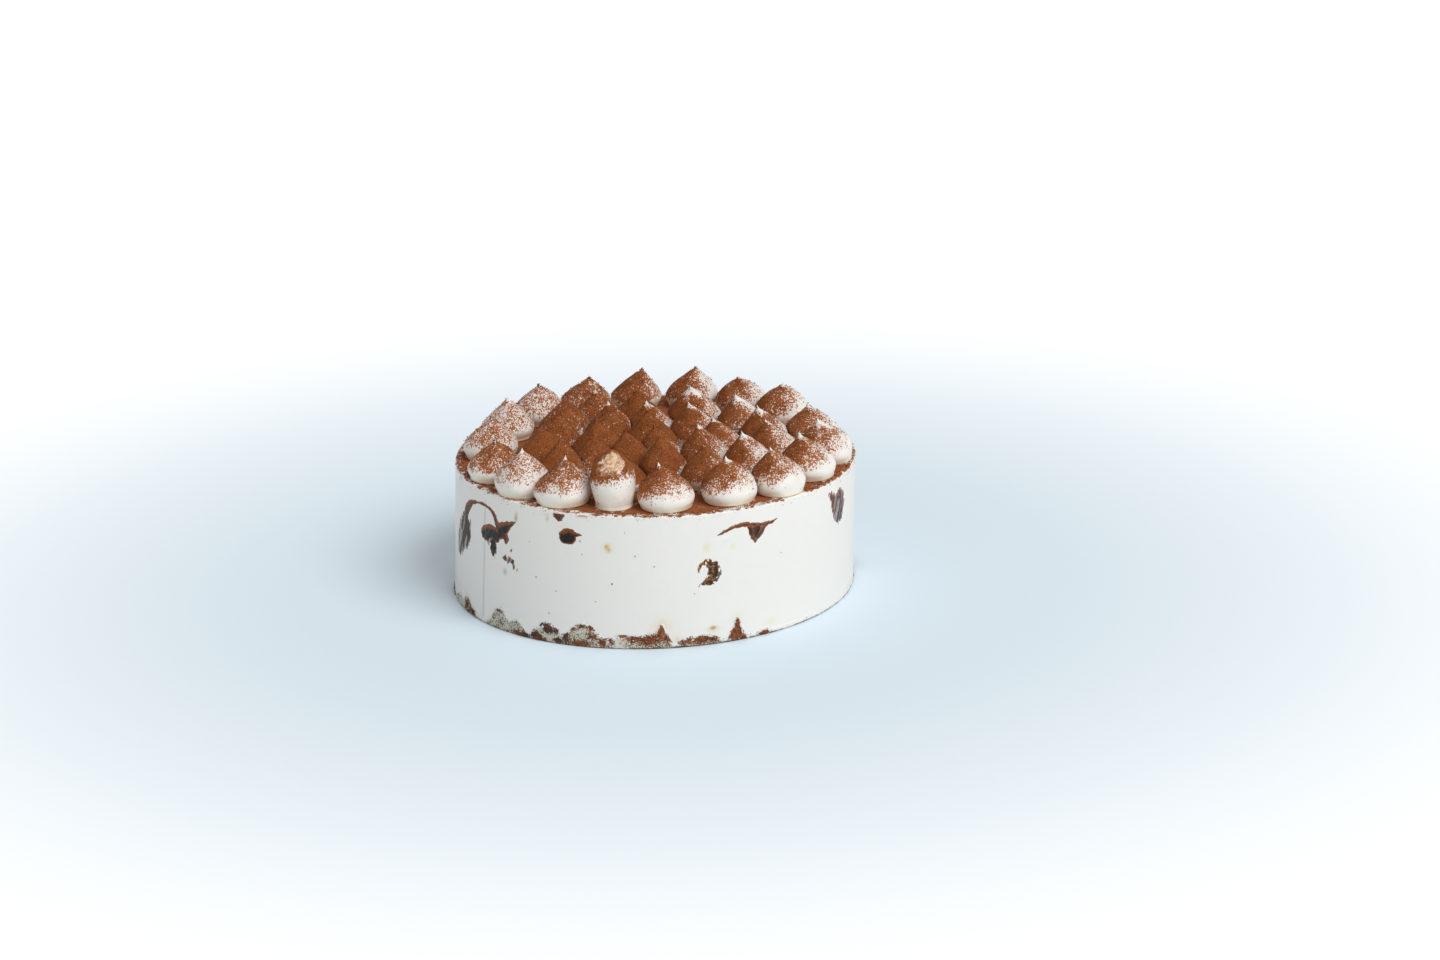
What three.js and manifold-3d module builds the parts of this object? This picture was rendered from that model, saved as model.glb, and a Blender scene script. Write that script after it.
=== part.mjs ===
// A whole round tiramisu cake: a smooth-sided drum of pale cream on a dark soaked sponge, patches of
// soaked sponge and sauce that come through to the side, and a top crowded with piped cream dollops.
// Millimetres, +Z up. The cake stands on the flat underside of its sponge and its front faces -Y.
import * as THREE from 'three';
import { mergeVertices } from 'three/addons/utils/BufferGeometryUtils.js';
import Module from 'manifold-3d';

const manifold = await Module();
manifold.setup();

// The drum. Turns everywhere are degrees about +Z, counter-clockwise from +X.
const footRadius = 102;
const rimRadius = 101.5;
const sideHeight = 68.4;
const footCentre = -0.9; // the drum leans a little: its foot is centred here in X
const rimCentre = 1.4; // and its rim here
const footOval = 0.009; // the foot is this share wider across one diagonal
const rimOval = -0.006; // and the rim across the other
const rimRounding = 1.1;
const rimShoulder = 0.3; // share of the rounding that the rim's middle loop is set in and down
const drumSteps = 136;
const gap = 0.3; // clearance between neighbouring pieces

// The sponge under the cream, and how high it shows at the side: [turn, height, half-width in degrees]
const spongeThickness = 13;
const spongeSlope = 9; // how far in from the side the sponge reaches its full thickness
const barestEdge = 1.2; // the sponge shows at least this much
const footBevel = 0.4;
const frontHumps = [
  [198, 6, 4],
  [204, 8.5, 4.5],
  [222, 11, 4.5],
  [228.5, 8, 4],
  [239.5, 9.5, 5],
  [250.5, 11.5, 5.5],
  [262, 6, 7],
  [268.5, 7, 3.5],
  [272.3, 12, 2.2],
  [283.5, 5.5, 6],
  [294, 11, 2],
  [303, 3, 2.2],
];
const backHumps = 13;
const backFrom = 346;
const backTo = 548;

// Piped dollops
const dollopRadius = 14.2;
const dollopHeight = 21.3;
const widestAt = 0.24; // share of the height where a dollop is widest
const footTuck = 0.17; // share of the radius that its foot draws in
const tuckPower = 1.8; // how suddenly it does
const sway = 0.14; // how much rounder its flank is towards +X than towards -X
const beak = 0.1; // share of the way from belly to tip that is a thin beak
const beakWidth = 0.11; // half-width of the beak's foot, as a share of the radius
const dollopSteps = 14;
const dollopLevels = [0, 0.1, 0.24, 0.45, 0.67, 0.83, 0.92];
const contactSoftness = 0.8; // rounding where two dollops press together
const nearby = 37; // dollops closer than this, middle to middle, may press together
const dollopLimit = 101; // no dollop reaches further out than this
const pullLeft = 2; // most tips were pulled this far towards -X
const pullInwards = 0.035; // and this share of their distance towards the middle
const pullBend = 1.5; // how late on its way up a dollop bends towards its tip
const unevenness = 0.035; // share by which sizes differ
const mostOval = 0.05;

// The rings that the dollops stand in, round one near the middle: [turn, distance from the rim's centre]
const dollopRings = {
  outer: [
    [274, 86], [295.5, 86], [313.5, 89.5], [331.5, 87.5], [349.5, 88], [7, 79.5],
    [37, 82], [57.5, 84], [77.5, 85], [97.5, 85], [116, 85], [136, 84.5],
    [156, 83.5], [180, 83.5], [203.5, 87], [222, 87.5], [239, 87], [257, 86],
  ],
  middle: [
    [7, 56.5], [34, 54], [68, 54], [101, 48], [123, 55], [146, 56], [173, 51], [198, 59],
    [222, 62], [227, 44.5], [252, 57], [276, 42.5], [296.5, 61], [324, 58.5], [347, 61.5],
  ],
  inner: [
    [40, 26], [96, 24], [136, 31.5], [197, 30], [245, 31], [276, 20], [320, 32.5], [358, 32.5],
  ],
  centre: [[125, 4]],
};

// How the flanks of each ring's dollops run up: a high swell rounds them, a high taper hollows them
const ringFlanks = {
  outer: { swell: 1.8, taper: 1.14 },
  middle: { swell: 1.4, taper: 1.1 },
  inner: { swell: 1.3, taper: 1.08 },
  centre: { swell: 1.3, taper: 1.08 },
};

// Dollops that differ from the rest. The rearmost tips were pulled towards +X.
const oddDollops = {
  outer_1: { radius: 14.5, pullX: -3.5, swell: 1.9, taper: 1.12 },
  outer_2: { height: 20.6, pullX: -1.5, taper: 1 },
  outer_3: { height: 21.8, taper: 1.05 },
  outer_5: { radius: 15, pullX: -4.5, taper: 1.05, sway: 0.25 },
  outer_6: { height: 20.6, pullX: -1, sway: 0.25 },
  outer_7: { height: 20.7, pullX: 0.6, taper: 0.88, sway: 0.06 },
  outer_8: { height: 19, pullX: -2.2, taper: 0.84 },
  outer_9: { pullX: 3, swell: 1.5, taper: 0.95, sway: 0 },
  outer_10: { height: 20, pullX: 4, swell: 1.15, taper: 1, sway: 0 },
  outer_11: { height: 18.8, pullX: 2.5, swell: 1.5, taper: 1.1, sway: 0 },
  outer_12: { swell: 1.6, taper: 0.95 },
  outer_13: { swell: 1.3, taper: 1 },
  outer_15: { height: 20 },
  outer_17: { height: 22.8, pullX: 2, taper: 1.28 },
  outer_18: {
    height: 28, radius: 11.7, pullX: -1, widestAt: 0.46, footTuck: 0.24, tuckPower: 1.3,
    swell: 2.2, taper: 0.72, sway: 0, beak: 0,
  },
  middle_4: { height: 18.5 },
  middle_8: { height: 20 },
  middle_11: { height: 17 },
  inner_8: { height: 18.5 },
};

// Patches that come through to the side, each a few strokes of [turn, height, width]
const patchDepth = 6;
const patches = {
  sauce_swirl: [
    [[198.5, 27, 3], [197, 31, 8], [197.5, 35, 12], [200.5, 40.5, 19], [202.5, 46, 12], [201.7, 51, 5]],
    [[201.8, 50, 5], [203.5, 55, 3.4], [206.5, 58.6, 2], [210, 60.8, 1.6], [213, 61.3, 1.8]],
    [[212, 61.2, 1.8], [216.4, 60.4, 2], [218.6, 58, 2.1], [220, 54.5, 2.4], [220.2, 51, 3.4]],
    [[212.5, 45.6, 1.5], [214.5, 46.8, 7], [217, 47.5, 9.3], [220, 49, 8.8], [222, 51, 8.2]],
    [[221.4, 50.4, 8], [224.5, 53.6, 6], [226, 56, 3.2], [227.6, 58, 0.6]],
    [[222.4, 51, 6.8], [223.8, 48.5, 4.9], [224.4, 46.2, 1.8]],
    [[217, 46, 11], [218, 41.5, 8], [218.5, 38.5, 5], [219, 35.2, 1.4]],
  ],
  sauce_fleck: [
    [[223, 38.2, 0.9], [224.5, 37.8, 2.4], [226, 36.2, 2.6], [227, 34.5, 1.9], [228.2, 32.6, 0.8]],
  ],
  sauce_drop: [
    [[243, 55, 1.5], [244, 55.8, 6], [245.2, 56.3, 7.2], [246.5, 56.8, 5.9], [250, 57.5, 0.6]],
    [[246, 57.5, 3.9], [246.2, 59, 2.5], [246.5, 61, 0.8]],
  ],
  sauce_dot: [
    [[241, 66.2, 1], [242, 65.8, 2.6], [243, 65.8, 2.8], [244.4, 66, 1]],
  ],
  sponge_curl: [
    [[282.5, 36.8, 1.3], [282.5, 39.5, 1.7], [283.5, 42, 2], [285, 43.4, 2.2], [286.8, 42.4, 3.1]],
    [[286, 43, 2.8], [287.5, 41, 3.5], [288, 37.5, 3.7], [287, 34.5, 4.5], [285.2, 32.4, 3], [283, 31, 1]],
  ],
  sauce_wedge: [
    [[288, 56.5, 0.8], [290.5, 58.4, 1.5], [293.5, 59.9, 1.8], [298.6, 59.8, 2.4]],
    [[299, 49.5, 0.9], [299.4, 52.5, 3.6], [299.6, 55.5, 6.4], [299.7, 60, 9.8]],
    [[299.7, 59, 3], [303, 58.6, 2.1], [306.4, 59.5, 0.8]],
  ],
  sauce_streak: [
    [[330.5, 62, 3.6], [330.5, 59, 5.6], [332, 55, 8], [334, 50.5, 11], [334, 47.5, 10.6], [334, 44.8, 4.6]],
    [[336, 61.6, 3], [336.2, 58.5, 7], [335.6, 54, 9.5], [334.5, 50, 10.5]],
  ],
};

// Colours
const creamWhite = 0xf1ebe1;
const cocoaBrown = 0x7b4a2c;
const spongeBrown = 0x4a3023;
const sauceBlack = 0x2c201b;

const radians = THREE.MathUtils.degToRad;
const lerp = THREE.MathUtils.lerp;

// A repeatable random number from 0 to 1
function randomFrom(seed) {
  let state = seed;
  return () => {
    state = (state * 16807) % 2147483647;
    return state / 2147483647;
  };
}

function matte(color, roughness = 0.8) {
  return new THREE.MeshStandardMaterial({ color, roughness, metalness: 0 });
}

// A closed surface from loops of points, lowest first, shut by a point at each end. Each four-sided
// patch between two loops is split along one diagonal or, mirrored, along the other.
function stackedLoops(loops, lowEnd, highEnd, mirrored = false) {
  const steps = loops[0].length;
  const corners = [lowEnd, ...loops.flat(), highEnd];
  const faces = [];
  const corner = (loop, step) => 1 + loop * steps + (step % steps);
  for (let step = 0; step < steps; step += 1) {
    faces.push(0, corner(0, step + 1), corner(0, step));
    faces.push(corners.length - 1, corner(loops.length - 1, step), corner(loops.length - 1, step + 1));
    for (let loop = 0; loop + 1 < loops.length; loop += 1) {
      const lower = [corner(loop, step), corner(loop, step + 1)];
      const upper = [corner(loop + 1, step), corner(loop + 1, step + 1)];
      faces.push(...lower, mirrored ? upper[1] : upper[0]);
      faces.push(mirrored ? lower[0] : lower[1], upper[1], upper[0]);
    }
  }
  const geometry = new THREE.BufferGeometry();
  geometry.setAttribute('position', new THREE.Float32BufferAttribute(corners.flatMap((p) => p.toArray()), 3));
  geometry.setIndex(faces);
  geometry.computeVertexNormals();
  return geometry;
}

function toSolid(geometry) {
  const bare = geometry.clone();
  bare.deleteAttribute('normal');
  const merged = mergeVertices(bare);
  const mesh = new manifold.Mesh({
    numProp: 3,
    vertProperties: new Float32Array(merged.attributes.position.array),
    triVerts: new Uint32Array(merged.index.array),
  });
  return new manifold.Manifold(mesh);
}

function toGeometry(solid) {
  const mesh = solid.getMesh();
  const geometry = new THREE.BufferGeometry();
  geometry.setAttribute('position', new THREE.BufferAttribute(mesh.vertProperties, 3));
  geometry.setIndex(new THREE.BufferAttribute(mesh.triVerts, 1));
  geometry.computeVertexNormals();
  return geometry;
}

// The side of the drum leans and changes from one oval to the other on its way up
function axisAt(height) {
  return lerp(footCentre, rimCentre, height / sideHeight);
}

function sidePoint(turn, height, outwards = 0) {
  const rise = height / sideHeight;
  const oval = lerp(footOval, rimOval, rise) * Math.sin(2 * turn);
  const radius = lerp(footRadius, rimRadius, rise) * (1 + oval) + outwards;
  return new THREE.Vector3(axisAt(height) + radius * Math.cos(turn), radius * Math.sin(turn), height);
}

// One loop of the drum, with its height given for each turn
function drumLoop(heightAt, outwards = 0, levelledTo = null) {
  const loop = [];
  for (let step = 0; step < drumSteps; step += 1) {
    const turn = (step / drumSteps) * 2 * Math.PI;
    const point = sidePoint(turn, heightAt(turn), outwards);
    if (levelledTo !== null) {
      point.z = levelledTo;
    }
    loop.push(point);
  }
  return loop;
}

// How high the sponge shows at each turn: humps with hollows between them, the highest one deciding
const spongeHumps = [...frontHumps];
const humpDraw = randomFrom(41);
for (let hump = 0; hump < backHumps; hump += 1) {
  const turn = lerp(backFrom, backTo, (hump + 0.2 + 0.6 * humpDraw()) / backHumps);
  spongeHumps.push([turn, 3 + 8 * humpDraw(), 3 + 4 * humpDraw()]);
}

function spongeEdge(turn) {
  const degrees = THREE.MathUtils.radToDeg(turn);
  let power = barestEdge ** 4;
  for (const [middle, height, width] of spongeHumps) {
    const away = THREE.MathUtils.euclideanModulo(degrees - middle + 180, 360) - 180;
    power += (height * Math.exp(-((away / width) ** 2))) ** 4;
  }
  return power ** 0.25;
}

// The sponge's upper face climbs from that edge to its full thickness
function spongeBase() {
  const loops = [
    drumLoop(() => 0, -footBevel),
    drumLoop(() => footBevel),
    drumLoop(spongeEdge),
    drumLoop(() => spongeThickness, -spongeSlope),
  ];
  return stackedLoops(loops, new THREE.Vector3(0, 0, 0), new THREE.Vector3(0, 0, spongeThickness));
}

// The cream's underside follows the sponge's upper face, so it is split along the same diagonals
function creamDrum() {
  const shoulder = sideHeight - rimRounding;
  const shoulderDrop = rimShoulder * rimRounding;
  const underside = spongeThickness + gap;
  const loops = [
    drumLoop(() => spongeThickness, -spongeSlope, underside),
    drumLoop((turn) => spongeEdge(turn) + gap),
    drumLoop(() => lerp(spongeThickness, shoulder, 0.5)),
    drumLoop(() => shoulder),
    drumLoop(() => sideHeight - shoulderDrop, -shoulderDrop),
    drumLoop(() => sideHeight, -rimRounding),
  ];
  const top = new THREE.Vector3(rimCentre, 0, sideHeight);
  return stackedLoops(loops, new THREE.Vector3(0, 0, underside), top, true);
}

// A stroke is a bar that follows the side, its four edges set off from a line of [turn, height, width]
function strokeBar(stroke, grow) {
  const outwards = 2;
  const inwards = -(patchDepth + grow);
  const along = (index) => {
    const [turn, height] = stroke[THREE.MathUtils.clamp(index, 0, stroke.length - 1)];
    return new THREE.Vector2(radians(turn) * footRadius, height);
  };
  const loops = stroke.map(([turn, height, width], index) => {
    const heading = along(index + 2).sub(along(index - 2)).normalize();
    const across = new THREE.Vector2(-heading.y, heading.x).multiplyScalar(width / 2 + grow);
    const ahead = grow * ((index === stroke.length - 1) - (index === 0));
    const middle = new THREE.Vector2(radians(turn) * footRadius, height).addScaledVector(heading, ahead);
    const corner = (side, depth) => {
      const edge = middle.clone().addScaledVector(across, side);
      return sidePoint(edge.x / footRadius, edge.y, depth);
    };
    return [corner(1, inwards), corner(1, outwards), corner(-1, outwards), corner(-1, inwards)];
  });
  const endPoint = (loop) => loop[0].clone().add(loop[2]).multiplyScalar(0.5);
  const geometry = stackedLoops(loops, endPoint(loops[0]), endPoint(loops[loops.length - 1]));
  return toSolid(geometry);
}

function patchSolid(strokes, grow) {
  return strokes
    .map((stroke) => strokeBar(stroke, grow))
    .reduce((whole, bar) => whole.add(bar));
}

// Where each dollop stands, how large it is and which way its tip was pulled
function layOutDollops() {
  const draw = randomFrom(977);
  const spread = () => 1 + unevenness * (2 * draw() - 1);
  const dollops = [];
  for (const [ring, places] of Object.entries(dollopRings)) {
    places.forEach(([turn, reach], index) => {
      const name = `${ring}_${index + 1}`;
      const x = rimCentre + reach * Math.cos(radians(turn));
      const y = reach * Math.sin(radians(turn));
      dollops.push({
        name,
        foot: new THREE.Vector2(x, y),
        radius: dollopRadius * spread(),
        height: dollopHeight * spread(),
        pullX: -pullLeft - pullInwards * x,
        pullY: -pullInwards * y,
        oval: mostOval * draw(),
        ovalTurn: Math.PI * draw(),
        widestAt,
        footTuck,
        tuckPower,
        sway,
        beak,
        ...ringFlanks[ring],
        ...oddDollops[name],
      });
    });
  }
  return dollops;
}

// Share of the full radius at a share of the height: a tucked foot, a round belly, flanks that run up
// to a shoulder, and a thin beak above it. Towards is 1 on the side facing +X and -1 on the other.
function dollopProfile(dollop, level, towards) {
  if (level < dollop.widestAt) {
    return 1 - dollop.footTuck * (1 - level / dollop.widestAt) ** dollop.tuckPower;
  }
  const climb = (level - dollop.widestAt) / (1 - dollop.widestAt);
  const flank = Math.min(climb / (1 - dollop.beak), 1);
  const body = (1 - flank ** dollop.swell) ** (dollop.taper - dollop.sway * towards);
  if (dollop.beak === 0) {
    return body;
  }
  const point = beakWidth * Math.min((1 - climb) / (3 * dollop.beak), 1);
  return (body ** 2.5 + point ** 2.5) ** 0.4;
}

function softSmaller(a, b) {
  return (a + b) / 2 - Math.hypot((a - b) / 2, contactSoftness);
}

// Furthest that a dollop may reach from one point of its axis, before its neighbours and the rim
function reachLimits(dollop, others, axis, heading) {
  const limits = [];
  for (const other of others) {
    const across = other.foot.clone().sub(dollop.foot);
    const share = dollop.radius / (dollop.radius + other.radius);
    const wall = across.length() * share - gap / 2;
    const facing = across.normalize().dot(heading);
    if (facing > 0) {
      limits.push((wall - across.dot(axis)) / facing);
    }
  }
  const place = dollop.foot.clone().add(axis);
  place.x -= rimCentre;
  const outward = place.dot(heading);
  limits.push(-outward + Math.sqrt(outward ** 2 - place.lengthSq() + dollopLimit ** 2));
  return limits.filter((limit) => limit < 2 * dollopRadius);
}

function dollopGeometry(dollop, others) {
  const axisOf = (level) => new THREE.Vector2(dollop.pullX, dollop.pullY).multiplyScalar(level ** pullBend);
  const base = sideHeight + gap;
  const place = (level, offset) =>
    new THREE.Vector3(dollop.foot.x + offset.x, dollop.foot.y + offset.y, base + level * dollop.height);
  const loops = dollopLevels.map((level) => {
    const axis = axisOf(level);
    const loop = [];
    for (let step = 0; step < dollopSteps; step += 1) {
      const turn = (step / dollopSteps) * 2 * Math.PI;
      const heading = new THREE.Vector2(Math.cos(turn), Math.sin(turn));
      const uneven = 1 + dollop.oval * Math.cos(2 * (turn - dollop.ovalTurn));
      const free = dollop.radius * dollopProfile(dollop, level, Math.cos(turn)) * uneven;
      const reach = reachLimits(dollop, others, axis, heading).reduce(softSmaller, free);
      loop.push(place(level, heading.multiplyScalar(reach).add(axis)));
    }
    return loop;
  });
  return stackedLoops(loops, place(0, new THREE.Vector2()), place(1, axisOf(1)));
}

const cake = new THREE.Group();

function addPiece(name, geometry, material) {
  const piece = new THREE.Mesh(geometry, material);
  piece.name = name;
  cake.add(piece);
}

addPiece('sponge_base', spongeBase(), matte(spongeBrown, 0.9));

const wholeDrum = toSolid(creamDrum());
let drum = wholeDrum;
for (const [name, strokes] of Object.entries(patches)) {
  const patch = patchSolid(strokes, 0).intersect(wholeDrum);
  drum = drum.subtract(patchSolid(strokes, gap));
  const patchColor = name.startsWith('sponge') ? spongeBrown : sauceBlack;
  addPiece(name, toGeometry(patch), matte(patchColor, 0.45));
}
addPiece('cream_body', toGeometry(drum), matte(creamWhite, 0.55));

const dollops = layOutDollops();
for (const dollop of dollops) {
  const isNear = (other) => other !== dollop && other.foot.distanceTo(dollop.foot) < nearby;
  const color = dollop.name.startsWith('outer') ? creamWhite : cocoaBrown;
  addPiece(`dollop_${dollop.name}`, dollopGeometry(dollop, dollops.filter(isNear)), matte(color, 0.7));
}

export default cake;
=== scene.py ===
import math

import bpy
import numpy as np
from mathutils import Matrix


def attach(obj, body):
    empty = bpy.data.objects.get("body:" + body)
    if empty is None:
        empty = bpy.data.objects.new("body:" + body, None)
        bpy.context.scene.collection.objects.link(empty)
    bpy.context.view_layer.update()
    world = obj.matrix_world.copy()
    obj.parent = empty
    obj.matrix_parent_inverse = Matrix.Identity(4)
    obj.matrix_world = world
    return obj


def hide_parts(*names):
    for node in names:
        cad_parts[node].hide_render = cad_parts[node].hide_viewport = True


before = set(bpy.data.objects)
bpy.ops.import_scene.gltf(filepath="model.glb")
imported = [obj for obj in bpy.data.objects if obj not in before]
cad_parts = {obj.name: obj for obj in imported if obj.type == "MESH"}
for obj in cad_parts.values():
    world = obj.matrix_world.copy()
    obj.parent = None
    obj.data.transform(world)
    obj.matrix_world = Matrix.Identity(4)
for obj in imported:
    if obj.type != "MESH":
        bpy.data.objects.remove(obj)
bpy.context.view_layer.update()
millimetre = 0.001
print("frame loaded:", len(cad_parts), "solids")


# a at share 0, b at share 1, straight between
def lerp(a, b, share):
    return a + (b - a) * share


# 0 below low, 1 above high, and eased between: 3t^2 - 2t^3
def ease(low, high, value):
    share = np.clip((value - low) / (high - low), 0, 1)
    return share * share * (3 - 2 * share)


# A repeatable number from 0 to 1 for each whole-number place, from its mixed bits
def hashed(x, y, z, seed):
    mixed = x * np.uint64(73856093) ^ y * np.uint64(19349663) ^ z * np.uint64(83492791)
    mixed = (mixed + np.uint64(seed * 7919 + 1)) * np.uint64(2654435761) & np.uint64(0xFFFFFFFF)
    mixed = (mixed ^ (mixed >> np.uint64(15))) * np.uint64(2246822519) & np.uint64(0xFFFFFFFF)
    mixed = (mixed ^ (mixed >> np.uint64(13))) * np.uint64(3266489917) & np.uint64(0xFFFFFFFF)
    mixed = mixed ^ (mixed >> np.uint64(16))
    return (mixed & np.uint64(0xFFFFFF)).astype(float) / 0xFFFFFF


# Smooth noise from about -1 to 1. The eight corners of each place's cell are blended by eased
# distance, and each octave is half as large and half as strong as the one before
def noise(places, size, seed, octaves=1):
    total = np.zeros(places.shape[:-1])
    strength = 1.0
    for octave in range(octaves):
        scaled = places / size * 2**octave + 4096.0
        cell = np.floor(scaled)
        part = scaled - cell
        part = part * part * (3 - 2 * part)
        cell = cell.astype(np.uint64)
        for corner in range(8):
            step = np.array([corner & 1, corner >> 1 & 1, corner >> 2 & 1], np.uint64)
            share = np.where(step == 1, part, 1 - part).prod(axis=-1)
            place = cell + step
            value = hashed(place[..., 0], place[..., 1], place[..., 2], seed + octave)
            total += strength * share * (2 * value - 1)
        strength *= 0.5
    return total


# Noise of a given strength and size
def waver(places, form, seed, octaves=2):
    strength, size = form
    return strength * noise(places, size, seed, octaves)


# The first of two numbers plus the value times the second
def vary(form, value):
    return form[0] + value * form[1]


# Outward normals of a closed grid: the cross product of its slopes round it and up it
def gridNormals(rows):
    around = np.roll(rows, -1, axis=1) - np.roll(rows, 1, axis=1)
    upwards = np.gradient(rows, axis=0)
    normals = np.cross(around, upwards)
    return normals / np.maximum(np.linalg.norm(normals, axis=-1, keepdims=True), 1e-9)


# 0-255 screen colour to the linear colour that shaders use
def paint(red, green, blue):
    screen = np.array([red, green, blue], float) / 255
    linear = np.where(screen <= 0.04045, screen / 12.92, ((screen + 0.055) / 1.055) ** 2.4)
    return np.append(linear, 1.0)


def grey(value):
    return (value, value, value, 1.0)


screenColours = {
    # The warm cream is painted shade and bounce light from the cocoa deck on the dollops' undersides and feet
    "cream": (243, 240, 234), "creamBounceShade": (240, 226, 200), "creamBright": (246, 242, 235),
    "veil": (232, 204, 186), "cocoa": (148, 84, 42), "cocoaDeep": (124, 66, 31),
    "cocoaDark": (80, 38, 16), "cocoaPale": (184, 118, 72), "cocoaThin": (190, 116, 68),
    "cocoaDeck": (160, 92, 48), "caramel": (196, 146, 104), "caramelPale": (232, 206, 174),
    "rust": (150, 84, 42), "rustDark": (104, 52, 26), "rustPale": (190, 124, 70),
    "chocolate": (74, 46, 32), "chocolateDark": (42, 26, 20), "chocolatePale": (120, 88, 66),
    # The foot shade is the sponge's darker bottom, partly painted contact shadow
    "film": (200, 194, 174), "filmPale": (214, 208, 192), "footShade": (52, 42, 36),
    "crumbPale": (160, 114, 74), "crumbDark": (54, 36, 28), "smear": (198, 192, 188),
    "seamLine": (186, 188, 188), "floorNear": (212, 228, 238), "floorFar": (246, 248, 250),
}
colours = {name: paint(*screen) for name, screen in screenColours.items()}


# Puts points and faces into a mesh. corners holds the faces' corners end to end and sizes how
# many each face has; values are numbers or colours kept for every point
def meshFrom(name, points, corners, sizes, finish, values=None, smooth=True):
    mesh = bpy.data.meshes.new(name)
    mesh.vertices.add(len(points))
    mesh.vertices.foreach_set("co", (points * millimetre).astype(np.float32).ravel())
    mesh.loops.add(len(corners))
    mesh.loops.foreach_set("vertex_index", corners.astype(np.int32))
    mesh.polygons.add(len(sizes))
    starts = np.concatenate([[0], np.cumsum(sizes)[:-1]]).astype(np.int32)
    mesh.polygons.foreach_set("loop_start", starts)
    mesh.polygons.foreach_set("use_smooth", np.full(len(sizes), smooth))
    mesh.update(calc_edges=True)
    for key, value in (values or {}).items():
        kind, field = ("FLOAT_COLOR", "color") if value.ndim == 2 else ("FLOAT", "value")
        attribute = mesh.attributes.new(key, kind, "POINT")
        attribute.data.foreach_set(field, value.astype(np.float32).ravel())
    mesh.materials.append(finish)
    piece = bpy.data.objects.new(name, mesh)
    bpy.context.scene.collection.objects.link(piece)
    return piece


# Faces of a closed surface of rows of points, lowest first. Neighbouring rows are joined by
# four-sided faces all the way round, and each end is shut by a fan to its pole
def rowFaces(count, steps):
    index = np.arange(count * steps).reshape(count, steps)
    ahead = np.roll(index, -1, axis=1)
    quads = np.stack([index[:-1], ahead[:-1], ahead[1:], index[1:]], -1).reshape(-1, 4)
    low = np.stack([ahead[0], index[0], np.full(steps, count * steps)], -1)
    high = np.stack([index[-1], ahead[-1], np.full(steps, count * steps + 1)], -1)
    corners = np.concatenate([quads.ravel(), low.ravel(), high.ravel()])
    sizes = np.concatenate([np.full(len(quads), 4), np.full(2 * steps, 3)])
    return corners, sizes


# A closed piece from rows and its two poles. values holds one array per row point, and the
# poles take their nearest row's mean
def closedPiece(name, rows, lowPole, highPole, finish, values=None):
    count, steps = rows.shape[:2]
    points = np.concatenate([rows.reshape(-1, 3), [lowPole], [highPole]])
    kept = {}
    for key, value in (values or {}).items():
        flat = value.reshape(count * steps, *value.shape[2:])
        ends = np.stack([value[0].mean(axis=0), value[-1].mean(axis=0)])
        kept[key] = np.concatenate([flat, ends])
    corners, sizes = rowFaces(count, steps)
    return meshFrom(name, points, corners, sizes, finish, kept)


# Hangs a piece on the root body and hides the solids that it stands in for
def place(piece, nodes, slot):
    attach(piece, "root")
    if nodes:
        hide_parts(*nodes)
    return piece


# One shader value. Arithmetic on it adds Math nodes, so a pattern reads as an expression
class Wire:
    def __init__(self, look, socket):
        self.look = look
        self.socket = socket

    def __add__(self, other):
        return self.look.maths("ADD", self, other)

    def __radd__(self, other):
        return self.look.maths("ADD", other, self)

    def __sub__(self, other):
        return self.look.maths("SUBTRACT", self, other)

    def __rsub__(self, other):
        return self.look.maths("SUBTRACT", other, self)

    def __mul__(self, other):
        return self.look.maths("MULTIPLY", self, other)

    # 0 below low, 1 above high, eased between
    def between(self, low, high):
        sockets = {"Value": self, "From Min": low, "From Max": high}
        return self.look.node("MapRange", {"interpolation_type": "SMOOTHSTEP"}, sockets)


# A material being made. node() adds any node: its type, its settings, which are set first, and
# the values or links of its sockets
class Look:
    def __init__(self, name):
        self.material = bpy.data.materials.new(name)
        self.material.use_nodes = True
        self.tree = self.material.node_tree
        self.tree.nodes.clear()

    def node(self, kind, settings=None, sockets=None, out=0):
        made = self.tree.nodes.new("ShaderNode" + kind)
        for key, value in (settings or {}).items():
            setattr(made, key, value)
        for key, value in (sockets or {}).items():
            if isinstance(value, Wire):
                self.tree.links.new(value.socket, made.inputs[key])
            else:
                made.inputs[key].default_value = value
        return Wire(self, made.outputs[out])

    def maths(self, operation, *values):
        return self.node("Math", {"operation": operation}, dict(enumerate(values)))

    # Lays colours over the first one, each by its share. A colour is a link or its name
    def layers(self, colour, *over):
        for share, upper in over:
            lower, upper = (colours[one] if isinstance(one, str) else one for one in (colour, upper))
            colour = self.node("Mix", {"data_type": "RGBA"}, {0: share, 6: lower, 7: upper}, out=2)
        return colour

    def kept(self, name, out=2):
        return self.node("Attribute", {"attribute_name": name}, out=out)

    # Object coordinates in metres, stretched along each axis
    def coords(self, stretch=(1, 1, 1)):
        where = self.node("TexCoord", out=3)
        if stretch == (1, 1, 1):
            return where
        return self.node("Mapping", None, {"Vector": where, "Scale": stretch})

    # Fractal noise from 0 to 1 whose patches are about size millimetres across
    def cloud(self, size, detail=2, stretch=(1, 1, 1), roughness=0.55):
        sockets = {
            "Vector": self.coords(stretch),
            "Scale": 1 / (size * millimetre),
            "Detail": detail,
            "Roughness": roughness,
        }
        return self.node("TexNoise", None, sockets)

    def bump(self, height, distance, strength=1.0):
        sockets = {"Height": height, "Distance": distance * millimetre, "Strength": strength}
        return self.node("Bump", None, sockets)

    def surface(self, sockets):
        made = self.node("BsdfPrincipled", None, sockets)
        out = self.tree.nodes.new("ShaderNodeOutputMaterial")
        self.tree.links.new(made.socket, out.inputs["Surface"])
        return self.material


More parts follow.
